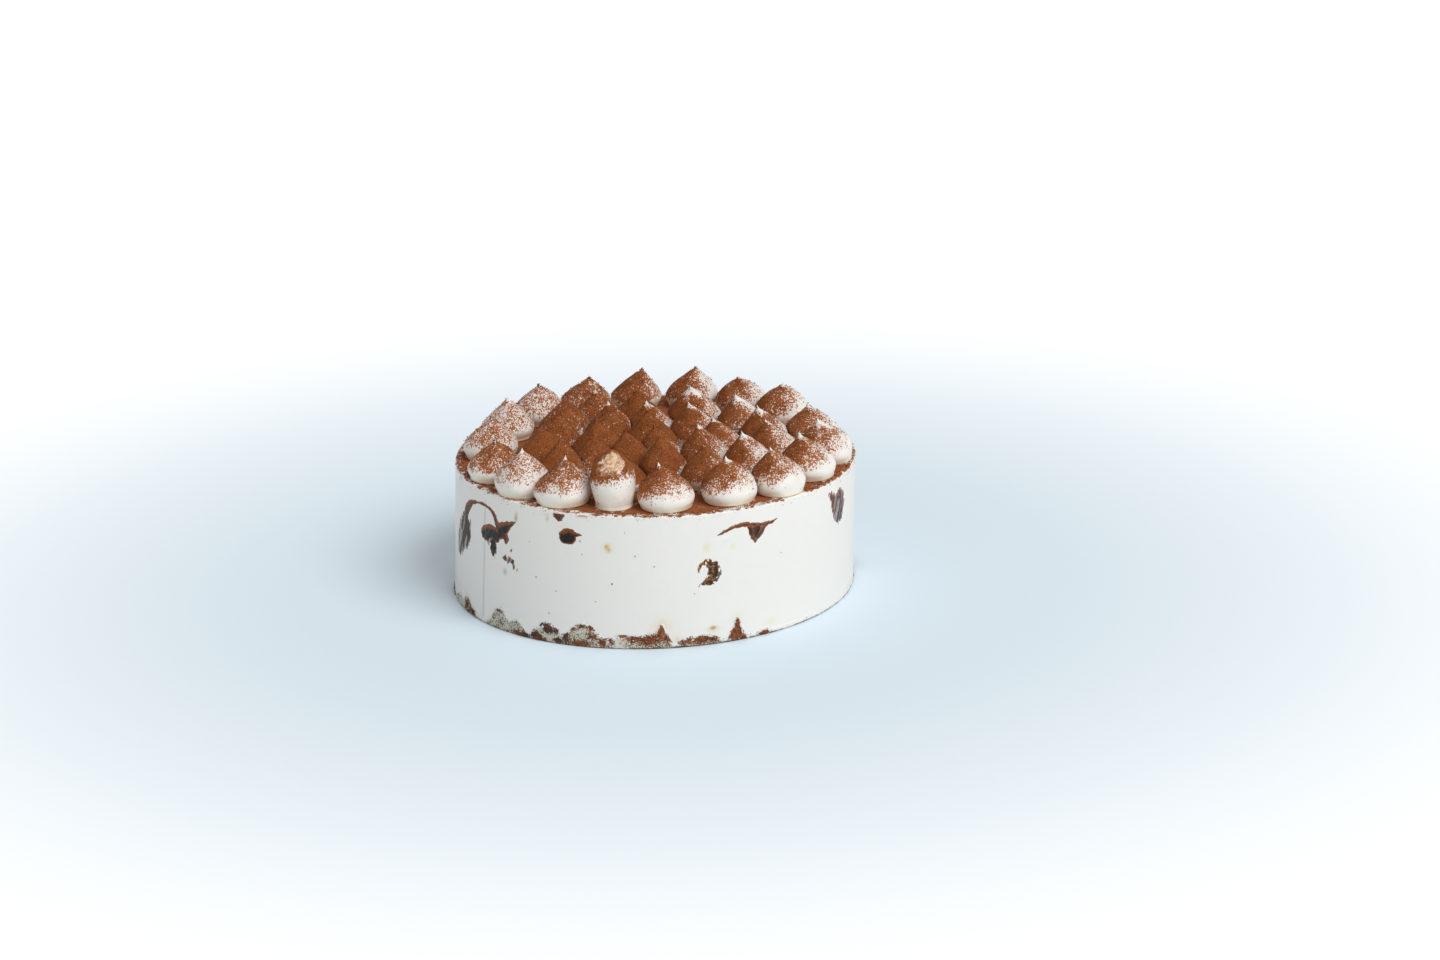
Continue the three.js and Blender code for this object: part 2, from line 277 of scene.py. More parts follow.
# Sizes are millimetres; pairs are where on a noise from 0 to 1 a look begins and is whole; a
# share is how much of it is seen there; a roughness is that of the bare part and what is added
creamLooks = {"scatterRadius": (1.0, 0.72, 0.5), "scatterSize": 0.9 * millimetre, "scatterShare": 0.2}
dustLooks = {
    "bareLevel": 0.655, "coverReach": 0.31, "edge": 0.016, "speckSize": 0.78, "speckRoughness": 0.6,
    "speckStretch": (1.0, 1.0, 0.7), "speckDetail": 3, "speckShare": 0.85, "clumpSize": 2.0, "driftSize": 6.0,
    "drift": (0.32, 0.68), "shadeSize": 0.5, "pale": (0.46, 0.64), "paleShare": 0.42, "dark": (0.5, 0.62),
    # The crease share is how strongly painted shade darkens the cocoa in creases
    "darkShare": 0.6, "creaseShadeShare": 0.62, "thin": (0.0, 0.6), "thinShare": 0.62, "veil": (-0.25, 0.7),
    "veilShare": 0.42, "dampSize": 1.7, "damp": (0.42, 0.6), "crustHeight": 0.5, "shadeHeight": 0.8,
    "clumpHeight": 0.1, "roughness": (0.46, 0.5), "shine": 0.14, "bump": (0.16, 0.7),
}
sideLooks = {
    "speckSize": 0.6, "speckRoughness": 0.6, "speckStretch": (1, 1, 1), "speckDetail": 2, "speckShare": 0.75,
    "clumpSize": 2.0, "cloudSize": 22.0, "cloud": (0.35, 0.7), "cloudShare": 0.35, "deep": (0.3, 0.62),
    "pitSize": 0.9, "pits": (0.6, 0.74), "pitDepth": 0.4, "unevenSize": 1.7, "unevenHeight": 0.5,
    "crustHeight": 0.4, "grainHeight": 0.6, "roughness": (0.38, 0.52), "shine": 0.4, "bump": (0.2, 0.8),
}
spongeLooks = {
    "raggedSize": 1.0, "raggedRoughness": 0.72, "raggedStretch": (1, 1, 1.15), "raggedReach": 3.4,
    "edge": 0.16, "crumbSize": 0.6, "crumb": (0.52, 0.66), "crumbShare": 0.75, "blotchSize": 3.2,
    "blotch": (0.4, 0.6), "milky": (0.44, 0.6), "milkyShare": 0.5, "hint": (-0.4, 0.0), "hintShare": 0.6,
    "roughness": (0.42, 0.3), "scatterShare": 0.1, "crumbHeight": 0.5, "spongeHeight": 0.6, "shine": 0.4,
    "bump": (0.3, 0.7),
}
wetLooks = {
    "mottleSize": 0.8, "mottle": (0.48, 0.66), "mottleShare": 0.6,
    "darker": {"Value": 0.62, "Saturation": 1.05}, "dryRoughness": 0.5, "glossReach": 0.32,
    "mottleReach": 0.12, "shine": 0.2, "coat": 0.07, "coatRoughness": 0.2, "bump": (0.12, 0.5),
}


# The finish of all that is made with cream: light spreads a little way inside it
def creamSurface(look, use, colour, rougher, height):
    return look.surface(
        {
            "Base Color": colour,
            "Roughness": vary(use["roughness"], rougher),
            "Specular IOR Level": use["shine"],
            "Subsurface Weight": use.get("scatterShare", creamLooks["scatterShare"]),
            "Subsurface Radius": creamLooks["scatterRadius"],
            "Subsurface Scale": creamLooks["scatterSize"],
            "Normal": look.bump(height, *use["bump"]),
        }
    )


# Fine and coarse noise, and where grains win over the cream: cover, the share of cocoa kept on
# the mesh, lowers the level that both have to pass, so full cover breaks up into specks
def sieved(look, use, cover):
    fine = look.cloud(use["speckSize"], use["speckDetail"], use["speckStretch"], use["speckRoughness"])
    coarse = look.cloud(use["clumpSize"], 2)
    grain = fine * use["speckShare"] + coarse * (1 - use["speckShare"])
    wanted = dustLooks["bareLevel"] - cover * dustLooks["coverReach"]
    return fine, coarse, (grain - wanted).between(-dustLooks["edge"], dustLooks["edge"])


# Cream under sieved cocoa. The cocoa is mottled, darkened in creases by painted shade and lighter
# where it is thin, and a veil of the finest dust lies on bare cream near it; damp cocoa is caramel.
# Downward faces and the feet are tinted warm beige as painted shade and bounce light from the deck
def dustedCream(name):
    look = Look(name)
    use = dustLooks
    cover = look.kept("cover")
    _, coarse, dusted = sieved(look, use, cover)
    shade = look.cloud(use["shadeSize"], 2)
    wet = look.layers("caramel", (look.cloud(use["dampSize"], 3).between(*use["damp"]), "caramelPale"))
    cocoa = look.layers(
        "cocoaDeep",
        (look.cloud(use["driftSize"], 3).between(*use["drift"]), "cocoa"),
        (shade.between(*use["pale"]) * use["paleShare"], "cocoaPale"),
        ((1 - shade).between(*use["dark"]) * use["darkShare"], "cocoaDark"),
        # Painted crease shade: cocoaDark where the dollop is pressed against its neighbours
        (look.kept("deep") * use["creaseShadeShare"], "cocoaDark"),
        ((1 - cover).between(*use["thin"]) * use["thinShare"], "cocoaThin"),
        (look.kept("damp"), wet),
    )
    colour = look.layers(
        "cream",
        # Painted shade and bounce light: warm beige under the dollops and at their feet
        (look.kept("bounceShade"), "creamBounceShade"),
        (cover.between(*use["veil"]) * use["veilShare"], "veil"),
        (dusted, cocoa),
    )
    height = dusted * use["crustHeight"] + shade * dusted * use["shadeHeight"] + coarse * use["clumpHeight"]
    return creamSurface(look, use, colour, dusted, height)


# The side: satin cream pressed smooth, finely pitted, with soft stains kept on the mesh as a
# colour whose alpha is their strength; cocoa covers the deck as it covers the dollops
def sideCream(name):
    look = Look(name)
    use = sideLooks
    fine, _, dusted = sieved(look, use, look.kept("cover"))
    colour = look.layers(
        "cream",
        (look.cloud(use["cloudSize"], 3).between(*use["cloud"]) * use["cloudShare"], "creamBright"),
        (look.kept("stain", 3), look.kept("stain", 0)),
        (dusted, look.layers("cocoaDeep", (fine.between(*use["deep"]), "cocoaDeck"))),
    )
    pits = look.cloud(use["pitSize"], 2).between(*use["pits"])
    wall = look.cloud(use["unevenSize"], 3) * use["unevenHeight"] - pits * use["pitDepth"]
    height = fine * dusted * use["grainHeight"] + dusted * use["crustHeight"] + wall * (1 - dusted)
    return creamSurface(look, use, colour, dusted, height)


# Soaked sponge smeared over with cream. The mesh keeps how much brown sponge shows, how rusty it
# is and how grey the film of cream over it is; ragged noise breaks the brown up into crumbs
def soakedSponge(name):
    look = Look(name)
    use = spongeLooks
    rust = look.kept("rust")
    ragged = look.cloud(use["raggedSize"], 4, use["raggedStretch"], use["raggedRoughness"])
    crumb = look.cloud(use["crumbSize"], 3)
    blotches = look.cloud(use["blotchSize"], 3).between(*use["blotch"])
    shown = look.kept("brown") - 0.5 + (ragged - 0.5) * use["raggedReach"]
    solid = shown.between(-use["edge"], use["edge"])
    dark, darker, lighter = (
        look.layers("chocolate" + tone, (rust, "rust" + tone)) for tone in ("", "Dark", "Pale")
    )
    tone = look.layers(dark, (blotches, darker), (crumb.between(*use["crumb"]) * use["crumbShare"], lighter))
    haze = look.layers(
        "film",
        (crumb.between(*use["milky"]) * use["milkyShare"], "filmPale"),
        (shown.between(*use["hint"]) * use["hintShare"], lighter),
    )
    # The foot layer darkens the bottom: partly the soaked sponge's own colour, partly painted contact shadow
    colour = look.layers("cream", (look.kept("film"), haze), (solid, tone), (look.kept("foot"), "footShade"))
    height = crumb * use["crumbHeight"] + solid * use["spongeHeight"]
    return creamSurface(look, use, colour, crumb, height)


# Wet patches: the mesh keeps each point's colour and how glossy it is; fine noise mottles both
def wetPatch(name):
    look = Look(name)
    use = wetLooks
    tint = look.kept("tint", 0)
    gloss = look.kept("gloss")
    mottle = look.cloud(use["mottleSize"], 3)
    darker = look.node("HueSaturation", None, {"Color": tint, **use["darker"]})
    return look.surface(
        {
            "Base Color": look.layers(tint, (mottle.between(*use["mottle"]) * use["mottleShare"], darker)),
            "Roughness": use["dryRoughness"] - gloss * use["glossReach"] + mottle * use["mottleReach"],
            "Specular IOR Level": use["shine"],
            "Coat Weight": gloss * use["coat"],
            "Coat Roughness": use["coatRoughness"],
            "Normal": look.bump(mottle, *use["bump"]),
        }
    )


# Loose grains of cocoa and crumbs of sponge, from dark to light by noise
def looseGrain(name, dark, light):
    look = Look(name)
    tone = look.cloud(1.4, 2)
    return look.surface(
        {
            "Base Color": look.layers(dark, (tone.between(0.4, 0.62), light)),
            "Roughness": 0.85 + tone * 0.1,
            "Specular IOR Level": 0.15,
            "Normal": look.bump(look.cloud(0.15, 2), 0.03, 0.6),
        }
    )


drum = {
    "footRadius": 102.0, "rimRadius": 101.5, "height": 68.4, "footCentre": -0.9, "rimCentre": 1.4,
    "footOval": 0.009, "rimOval": -0.006, "rounding": 1.1, "perDegree": 1.78, "spongeThickness": 13.0,
    "spongeSlope": 9.0, "barestEdge": 1.2, "gap": 0.3,
}


# How far each turn is from a given one, in degrees from -180 to 180
def degreesFrom(turn, middle):
    return (np.degrees(turn) - middle + 180) % 360 - 180


# A point of the leaning side: its centre and radius run straight from foot to rim, and the
# radius swells by the oval's share times the sine of twice the turn
def sidePoint(turn, height, outwards):
    rise = height / drum["height"]
    oval = lerp(drum["footOval"], drum["rimOval"], rise) * np.sin(2 * turn)
    radius = lerp(drum["footRadius"], drum["rimRadius"], rise) * (1 + oval) + outwards
    x = lerp(drum["footCentre"], drum["rimCentre"], rise) + radius * np.cos(turn)
    return np.stack(np.broadcast_arrays(x, radius * np.sin(turn), height), -1)


# Even turns all the way round
def allRound(steps):
    return np.arange(steps) / steps * 2 * math.pi


# The level direction straight outwards at each turn
def outwardFrom(turn):
    return np.stack([np.cos(turn), np.sin(turn), np.zeros(len(turn))], -1)


# Park-Miller numbers, the same that set out the solids: each is the last one times 16807,
# modulo 2147483647
def repeatable(seed):
    state = seed
    while True:
        state = state * 16807 % 2147483647
        yield state / 2147483647


# The sponge's humps: turn, height and half-width in degrees, as seen in front and drawn at the back
frontHumps = [
    (198, 6, 4), (204, 8.5, 4.5), (222, 11, 4.5), (228.5, 8, 4), (239.5, 9.5, 5), (250.5, 11.5, 5.5),
    (262, 6, 7), (268.5, 7, 3.5), (272.3, 12, 2.2), (283.5, 5.5, 6), (294, 11, 2), (303, 3, 2.2),
]
humpDraw = repeatable(41)
backCount = 13
backHumps = [
    (
        lerp(346, 548, (hump + 0.2 + 0.6 * next(humpDraw)) / backCount),
        3 + 8 * next(humpDraw),
        3 + 4 * next(humpDraw),
    )
    for hump in range(backCount)
]


# How high the sponge shows: the fourth root of the sum of its humps' fourth powers, each hump
# its height times a bell of its half-width
def spongeEdge(turn):
    power = np.full(turn.shape, drum["barestEdge"] ** 4)
    for middle, height, width in frontHumps + backHumps:
        away = degreesFrom(turn, middle)
        power += (height * np.exp(-((away / width) ** 2))) ** 4
    return power**0.25


# A table of [turn, value] read at each turn, straight between its rows
def readTable(table, turn):
    rows = np.array(sorted(table), float)
    return np.interp(np.degrees(turn) % 360, rows[:, 0], rows[:, 1], period=360)


dollopForm = {
    "radius": 14.2, "height": 21.3, "widestAt": 0.24, "footTuck": 0.17, "tuckPower": 1.8,
    "softness": 0.7, "nearby": 37.0, "limit": 101.0, "pullLeft": 2.0, "pullInwards": 0.035,
    "pullBend": 1.5, "unevenness": 0.035, "mostOval": 0.05, "sway": 0.14, "beak": 0.1,
    "beakWidth": 0.15, "steps": 96, "levels": 62,
}
# How the flanks of each ring's dollops run up: a high swell rounds them, a high taper hollows them
ringFlanks = {"outer": (1.8, 1.14), "middle": (1.3, 1.02), "inner": (1.2, 1.0), "centre": (1.3, 1.08)}
# Each ring's dollops in order. First turn and distance from the rim's middle; then how the cocoa
# fell on it: the most it carries, how squarely a face must meet the fall to carry half of that,
# and over how wide a change of slope it thins out; last, how far down its tip stayed white
dollopRings = {
    "outer": [
        (274, 86, 1.06, 0.38, 0.62, 1), (295.5, 86, 1.08, 0.4, 0.6, 2.2),
        (313.5, 89.5, 1.0, 0.38, 0.62, 2.4), (331.5, 87.5, 0.92, 0.28, 0.66, 2.6),
        (349.5, 88, 0.84, 0.24, 0.66, 2.8), (7, 79.5, 0.92, 0.28, 0.66, 2.4),
        (37, 82, 0.94, 0.42, 0.66, 1.8), (57.5, 84, 0.84, 0.34, 0.66, 0.9),
        (77.5, 85, 0.86, 0.38, 0.66, 0), (97.5, 85, 0.92, 0.28, 0.6, 0), (116, 85, 0.8, 0.25, 0.55, 0),
        (136, 84.5, 0.56, 0.2, 0.55, 0), (156, 83.5, 0.47, 0.24, 0.55, 1.8),
        (180, 83.5, 0.62, 0.34, 0.55, 0), (203.5, 87, 0.86, 0.32, 0.6, 0), (222, 87.5, 0.6, 0.4, 0.6, 2),
        (239, 87, 1.0, 0.46, 0.62, 1.2), (257, 86, 1.15, 0.06, 0.42, 0),
    ],
    "middle": [
        (7, 56.5, 1.04, 0.18, 0.56, 3.4), (34, 54, 0.98, 0.3, 0.62, 4.2), (68, 54, 0.98, 0.22, 0.62, 5),
        (101, 48, 1.04, 0.14, 0.44, 0), (123, 55, 0.92, 0.3, 0.58, 1.8), (146, 56, 0.94, 0.24, 0.58, 0),
        (173, 51, 0.96, 0.18, 0.56, 0), (198, 59, 1.08, 0.0, 0.4, 0), (222, 62, 1.04, 0.14, 0.44, 0),
        (227, 44.5, 0.98, 0.12, 0.52, 0), (252, 57, 1.04, 0.14, 0.44, 0), (276, 42.5, 1.08, 0.0, 0.4, 0),
        (296.5, 61, 0.96, 0.14, 0.52, 0), (324, 58.5, 1.04, 0.26, 0.6, 3), (347, 61.5, 1.1, 0.3, 0.6, 2),
    ],
    "inner": [
        (40, 26, 1.05, 0.3, 0.58, 2.6), (96, 24, 0.94, 0.28, 0.58, 2.6),
        (136, 31.5, 0.98, 0.2, 0.56, 1.8), (197, 30, 1.12, 0.0, 0.4, 0), (245, 31, 1.1, 0.0, 0.4, 0),
        (276, 20, 1.0, 0.05, 0.5, 0), (320, 32.5, 1.0, 0.26, 0.58, 2), (358, 32.5, 1.02, 0.22, 0.6, 2.2),
    ],
    "centre": [
        (125, 4, 1.1, 0.0, 0.4, 0),
    ],
}
oddDollops = {
    "outer_1": {"radius": 14.5, "pullX": -3.5, "swell": 1.9, "taper": 1.12},
    "outer_2": {"height": 21.3, "pullX": -1.5, "taper": 1.0},
    "outer_3": {"height": 21.8, "taper": 1.05},
    "outer_5": {"radius": 15, "pullX": -4.5, "taper": 1.05, "sway": 0.25},
    "outer_6": {"height": 21.6, "pullX": -1, "sway": 0.25},
    "outer_7": {"height": 21.2, "pullX": 0.6, "taper": 0.88, "sway": 0.06},
    "outer_8": {"height": 19, "pullX": -2.2, "taper": 0.84},
    "outer_9": {"pullX": 3, "swell": 1.5, "taper": 0.95, "sway": 0.0, "beak": 0.06},
    "outer_10": {"height": 20.6, "pullX": 4, "swell": 1.15, "taper": 1.0, "sway": 0.0, "beak": 0.06},
    "outer_11": {"height": 18.8, "pullX": 2.5, "swell": 1.5, "taper": 1.1, "sway": 0.0, "beak": 0.06},
    "outer_12": {"swell": 1.6, "taper": 0.95, "beak": 0.07},
    "outer_13": {"swell": 1.3, "taper": 1.0, "beak": 0.07},
    "outer_15": {"height": 20},
    "outer_17": {"height": 22.8, "pullX": 2, "taper": 1.28},
    "outer_18": {
        "height": 28, "radius": 11.7, "pullX": -1, "widestAt": 0.46, "footTuck": 0.24,
        "tuckPower": 1.3, "swell": 2.1, "taper": 0.86, "sway": 0.0, "beak": 0.0,
    },
    "middle_4": {"height": 18.5},
    "middle_8": {"height": 20},
    "middle_11": {"height": 17},
    "inner_8": {"height": 18.5},
}


# Each dollop's place, size and pull, drawn in the order of the solids
def layOutDollops():
    draw = repeatable(977)
    made = []
    for ring, places in dollopRings.items():
        for index, (turn, reach, *dust, whiteDown) in enumerate(places):
            name = f"{ring}_{index + 1}"
            x = drum["rimCentre"] + reach * math.cos(math.radians(turn))
            y = reach * math.sin(math.radians(turn))
            uneven = dollopForm["unevenness"]
            dollop = {
                "name": name,
                "foot": np.array([x, y]),
                "radius": dollopForm["radius"] * (1 + uneven * (2 * next(draw) - 1)),
                "height": dollopForm["height"] * (1 + uneven * (2 * next(draw) - 1)),
                "pullX": -dollopForm["pullLeft"] - dollopForm["pullInwards"] * x,
                "pullY": -dollopForm["pullInwards"] * y,
                "oval": dollopForm["mostOval"] * next(draw),
                "ovalTurn": math.pi * next(draw),
                "swell": ringFlanks[ring][0],
                "taper": ringFlanks[ring][1],
                "dust": dust,
                "whiteDown": whiteDown,
                **{key: dollopForm[key] for key in ("widestAt", "footTuck", "tuckPower", "sway", "beak")},
            }
            dollop.update(oddDollops.get(name, {}))
            made.append(dollop)
    return made


# Share of the full radius. Below the belly, 1 - tuck (1 - level / widest)^power; above it
# (1 - climb^swell)^taper, climb being the share of the way from belly to shoulder, which runs
# softly into a thin beak, a straight cone up to the tip. Towards is 1 on the side facing +X and
# -1 on the other, and makes the first rounder and the second straighter
def dollopProfile(dollop, level, towards):
    widest = dollop["widestAt"]
    below = 1 - dollop["footTuck"] * np.clip(1 - level / widest, 0, 1) ** dollop["tuckPower"]
    climb = np.clip((level - widest) / (1 - widest), 0, 1)
    flank = np.clip(climb / (1 - dollop["beak"]), 0, 1)
    body = (1 - flank ** dollop["swell"]) ** (dollop["taper"] - dollop["sway"] * towards)
    if dollop["beak"] > 0:
        point = dollopForm["beakWidth"] * np.clip((1 - climb) / (3 * dollop["beak"]), 0, 1)
        body = (body**2.5 + point**2.5) ** 0.4
    return np.where(level < widest, below, body)


# The smaller of two lengths, with the change from one to the other rounded off
def softSmaller(a, b):
    return (a + b) / 2 - np.hypot((a - b) / 2, dollopForm["softness"])


# Rows of a dollop: at each level a loop round the bent axis, reaching as far as the profile
# says or to the wall shared with a neighbour or to the drum's rim, whichever is nearer.
# Returns the rows and how hard each point is pressed back
def dollopRows(dollop, others, levels, turns):
    level = levels[:, None]
    pull = np.array([dollop["pullX"], dollop["pullY"]])
    axis = pull * level[..., None] ** dollopForm["pullBend"]
    heading = np.stack([np.cos(turns), np.sin(turns)], -1)
    uneven = 1 + dollop["oval"] * np.cos(2 * (turns - dollop["ovalTurn"]))
    free = dollop["radius"] * dollopProfile(dollop, level, np.cos(turns)) * uneven
    reach = free
    farthest = 2 * dollopForm["radius"]
    for other in others:
        across = other["foot"] - dollop["foot"]
        distance = np.linalg.norm(across)
        across = across / distance
        share = dollop["radius"] / (dollop["radius"] + other["radius"])
        facing = heading @ across
        wall = distance * share - drum["gap"] / 2 - axis @ across
        limit = np.where(facing > 1e-6, wall / np.maximum(facing, 1e-6), 1e3)
        reach = np.where(limit < farthest, softSmaller(reach, limit), reach)
    pressed = free - reach
    foot = dollop["foot"] + axis - np.array([drum["rimCentre"], 0])
    outward = (foot * heading).sum(axis=-1)
    limit = -outward + np.sqrt(outward**2 - (foot**2).sum(axis=-1) + dollopForm["limit"] ** 2)
    reach = np.where(limit < farthest, softSmaller(reach, limit), reach)
    reach = np.maximum(reach, 0.02)
    flat = dollop["foot"] + axis + heading * reach[..., None]
    height = drum["height"] + drum["gap"] + level * dollop["height"]
    rows = np.concatenate([flat, np.broadcast_to(height[..., None], (*flat.shape[:-1], 1))], -1)
    return rows, pressed


dollops = layOutDollops()


creamBody = {
    "columns": 940, "wallRows": 74, "rimRows": 8, "behindSponge": 1.6, "lowest": 0.25,
    "tuckRise": 0.2, "tuckIn": 1.4,
    "deckInsets": (*np.arange(1.8, 10.0, 0.8), 11, 12.5, 14, 16, 19, 24, 34, 50, 70, 90),
    "waves": (0.1, 34.0), "seamTurn": 214.0, "seamDepth": 0.12, "seamRise": (-0.9, 0.0),
    "seamFall": (0.0, 9.0), "grooveDepth": 0.2, "grooveWidth": 0.7, "lineShare": 0.5,
    "lineWidth": 0.8, "lineEnd": (66.0, 60.0), "reliefRows": (1.0, 3.0), "reliefEnd": (68.0, 68.4),
    "nicks": (0.1, 2.4), "nicksAbove": (65.5, 67.6), "nicksWithin": (2.6, 0.6),
}
# Soft stains on the side: turn, height, width and height in millimetres, colour and strength
stains = [
    (227.8, 60.6, 0.9, 2.2, (176, 140, 70), 0.85),
    (238.9, 63.6, 0.8, 1.2, (208, 176, 96), 0.8),
    (256.9, 52.6, 1.1, 1.0, (206, 168, 74), 1.0),
    (257.6, 50.9, 0.8, 1.4, (212, 178, 96), 0.8),
    (257.2, 52.0, 2.6, 2.6, (232, 214, 176), 0.5),
    (284.8, 51.2, 1.8, 2.4, (240, 222, 170), 0.6),
    (292.4, 49.8, 1.2, 1.2, (240, 226, 184), 0.4),
    (286.9, 8.6, 1.6, 0.9, (150, 100, 50), 0.85),
    (286.9, 7.6, 3.4, 1.6, (236, 214, 168), 0.6),
    (305.1, 6.4, 4.0, 1.6, (238, 226, 190), 0.5),
    (272.3, 11.0, 4.6, 4.6, (236, 212, 176), 0.6),
    (277.0, 3.5, 2.6, 2.4, (226, 200, 160), 0.6),
    (294.0, 11.0, 2.6, 3.4, (238, 216, 180), 0.5),
    (244.0, 60.0, 3.4, 1.2, (240, 226, 200), 0.5),
    (249.8, 67.2, 2.6, 0.45, (150, 92, 56), 0.9),
    (196.0, 66.5, 2.5, 0.8, (150, 100, 70), 0.5),
    (223.8, 31.0, 1.4, 1.6, (150, 146, 140), 0.5),
    (290.0, 55.0, 3.0, 0.7, (250, 250, 248), 0.6),
]
# How thickly cocoa lies along the rim: turn and amount
rimDust = [
    (0, 0.7), (20, 0.5), (45, 0.8), (70, 0.6), (100, 0.85), (130, 0.7), (160, 0.8), (185, 0.85),
    (200, 0.72), (215, 0.6), (228, 0.5), (243, 0.58), (255, 0.75), (270, 0.7), (285, 0.75), (291, 0.7),
    (299, 0.55), (303, 0.7), (309, 0.6), (311, 0.1), (316.5, 0.05), (318, 1.0), (345, 1.05), (352, 0.85),
]


# The drum's wall as a height field: slow waves left by the mould, the step of its seam, which
# rises at once and falls away slowly, and a thin groove along it
def wallRelief(places, turn):
    away = degreesFrom(turn, creamBody["seamTurn"]) * drum["perDegree"]
    step = ease(*creamBody["seamRise"], away) - ease(*creamBody["seamFall"], away)
    groove = creamBody["grooveDepth"] * np.exp(-((away / creamBody["grooveWidth"]) ** 2))
    return waver(places, creamBody["waves"], 11) + creamBody["seamDepth"] * step - groove


# The drum from the hidden underside up the wall, round the rim's quarter circle and over the deck
def makeCreamBody(finish):
    steps = creamBody["columns"]
    turn = allRound(steps)
    low = np.maximum(spongeEdge(turn) - creamBody["behindSponge"], creamBody["lowest"])
    shoulder = drum["height"] - drum["rounding"]
    share = np.linspace(0, 1, creamBody["wallRows"])[:, None]
    under = sidePoint(turn, np.full(steps, drum["spongeThickness"]), -drum["spongeSlope"])
    under[:, 2] = drum["spongeThickness"] + drum["gap"]
    bend = np.linspace(0, math.pi / 2, creamBody["rimRows"] + 1)[1:, None]
    rimHeight = np.broadcast_to(drum["height"] - drum["rounding"] * (1 - np.sin(bend)), (len(bend), steps))
    inset = np.array(creamBody["deckInsets"])[:, None]
    rows = np.concatenate(
        [
            [under, sidePoint(turn, low + creamBody["tuckRise"], -creamBody["tuckIn"])],
            sidePoint(turn, lerp(low, shoulder, share), 0.0),
            sidePoint(turn, rimHeight, -drum["rounding"] * (1 - np.cos(bend))),
            sidePoint(turn, np.full((len(inset), steps), drum["height"]), -inset),
        ]
    )
    normals = gridNormals(rows)
    onWall = ease(*creamBody["reliefRows"], np.arange(len(rows)))[:, None]
    onWall = onWall * (1 - ease(*creamBody["reliefEnd"], rows[..., 2]))
    rows = rows + outwardFrom(turn) * (wallRelief(rows, turn) * onWall)[..., None]
    fromRim = np.abs(radiusAt(rows) - drum["rimRadius"])
    atRim = ease(*creamBody["nicksAbove"], rows[..., 2]) * ease(*creamBody["nicksWithin"], fromRim)
    rows = rows - normals * (waver(rows, creamBody["nicks"], 12, 3) * atRim)[..., None]
    stain, strength = stainColours(rows, turn)
    stain = np.concatenate([stain, strength[..., None]], -1)
    values = {"cover": deckCover(rows, turn), "stain": stain}
    lowPole = [0, 0, drum["spongeThickness"] + drum["gap"]]
    highPole = [drum["rimCentre"], 0, drum["height"]]
    body = closedPiece("cream_body", rows, lowPole, highPole, finish, values)
    return place(body, ["cream_body"], "side_cream")


def radiusAt(rows):
    return np.hypot(rows[..., 0] - drum["rimCentre"], rows[..., 1])


deckDust = {
    "ragged": (1.0, 1.9), "footShare": 0.83, "footShade": (-0.6, 1.4), "footRagged": 0.5,
    "shallowest": 0.1, "deepest": 0.6, "runOut": (-0.35, 0.35), "runRagged": 0.4,
    "inland": (99.6, 96.0), "inlandAmount": (0.2, 0.9), "byRim": 0.8, "thick": 1.5,
    "open": (99.0, 88.0), "openShare": 0.85, "below": 0.45, "bounds": (-0.5, 1.5),
}


# Cocoa on the deck: it lies thick between the feet, thins out towards the rim in the amount of
# the rim table and runs a little way over the rim's rounding, with a ragged end
def deckCover(rows, turn):
    use = deckDust
    amount = readTable(rimDust, turn)
    footRoom = np.full(rows.shape[:2], 99.0)
    for dollop in dollops:
        away = np.hypot(rows[..., 0] - dollop["foot"][0], rows[..., 1] - dollop["foot"][1])
        footRoom = np.minimum(footRoom, away - dollop["radius"] * use["footShare"])
    ragged = waver(rows, use["ragged"], 21, 3)
    lowest = drum["height"] - use["shallowest"] - use["deepest"] * amount
    drop = ease(*use["runOut"], rows[..., 2] - lowest + use["runRagged"] * ragged)
    shade = ease(*use["footShade"], footRoom + use["footRagged"] * ragged)
    inland = ease(*use["inland"], radiusAt(rows)) * ease(*use["inlandAmount"], amount)
    amount = lerp(use["byRim"] * amount, use["thick"], inland)
    shade = lerp(shade, 1.0, use["openShare"] * ease(*use["open"], radiusAt(rows)))
    cover = (amount * shade + use["runRagged"] * ragged) * drop - use["below"] * (1 - drop)
    return np.clip(cover, *use["bounds"])


# Stains: each is a bell of its width and height round its middle; the strongest one's colour
# wins, and the strengths add up to at most 1. A faint line marks the seam
def stainColours(rows, turn):
    colour = np.broadcast_to(colours["cream"][:3], rows.shape).copy()
    strength = np.zeros(rows.shape[:2])
    wobble = noise(rows, 1.6, 31, 2)
    for middle, height, width, tall, shade, most in stains:
        across = degreesFrom(turn, middle) * drum["perDegree"]
        bell = most * np.exp(-((across / width) ** 2) - ((rows[..., 2] - height) / tall) ** 2)
        bell = np.clip(bell * (1 + 0.5 * wobble), 0, 1)
        share = (bell / np.maximum(bell + strength, 1e-6))[..., None]
        colour = lerp(colour, paint(*shade)[:3], share)
        strength = np.clip(strength + bell, 0, 1)
    seam = degreesFrom(turn, creamBody["seamTurn"]) * drum["perDegree"]
    line = creamBody["lineShare"] * np.exp(-((seam / creamBody["lineWidth"]) ** 2))
    line = line * ease(*creamBody["lineEnd"], rows[..., 2])
    share = (line / np.maximum(line + strength, 1e-6))[..., None]
    return lerp(colour, colours["seamLine"][:3], share), np.clip(strength + line, 0, 1)


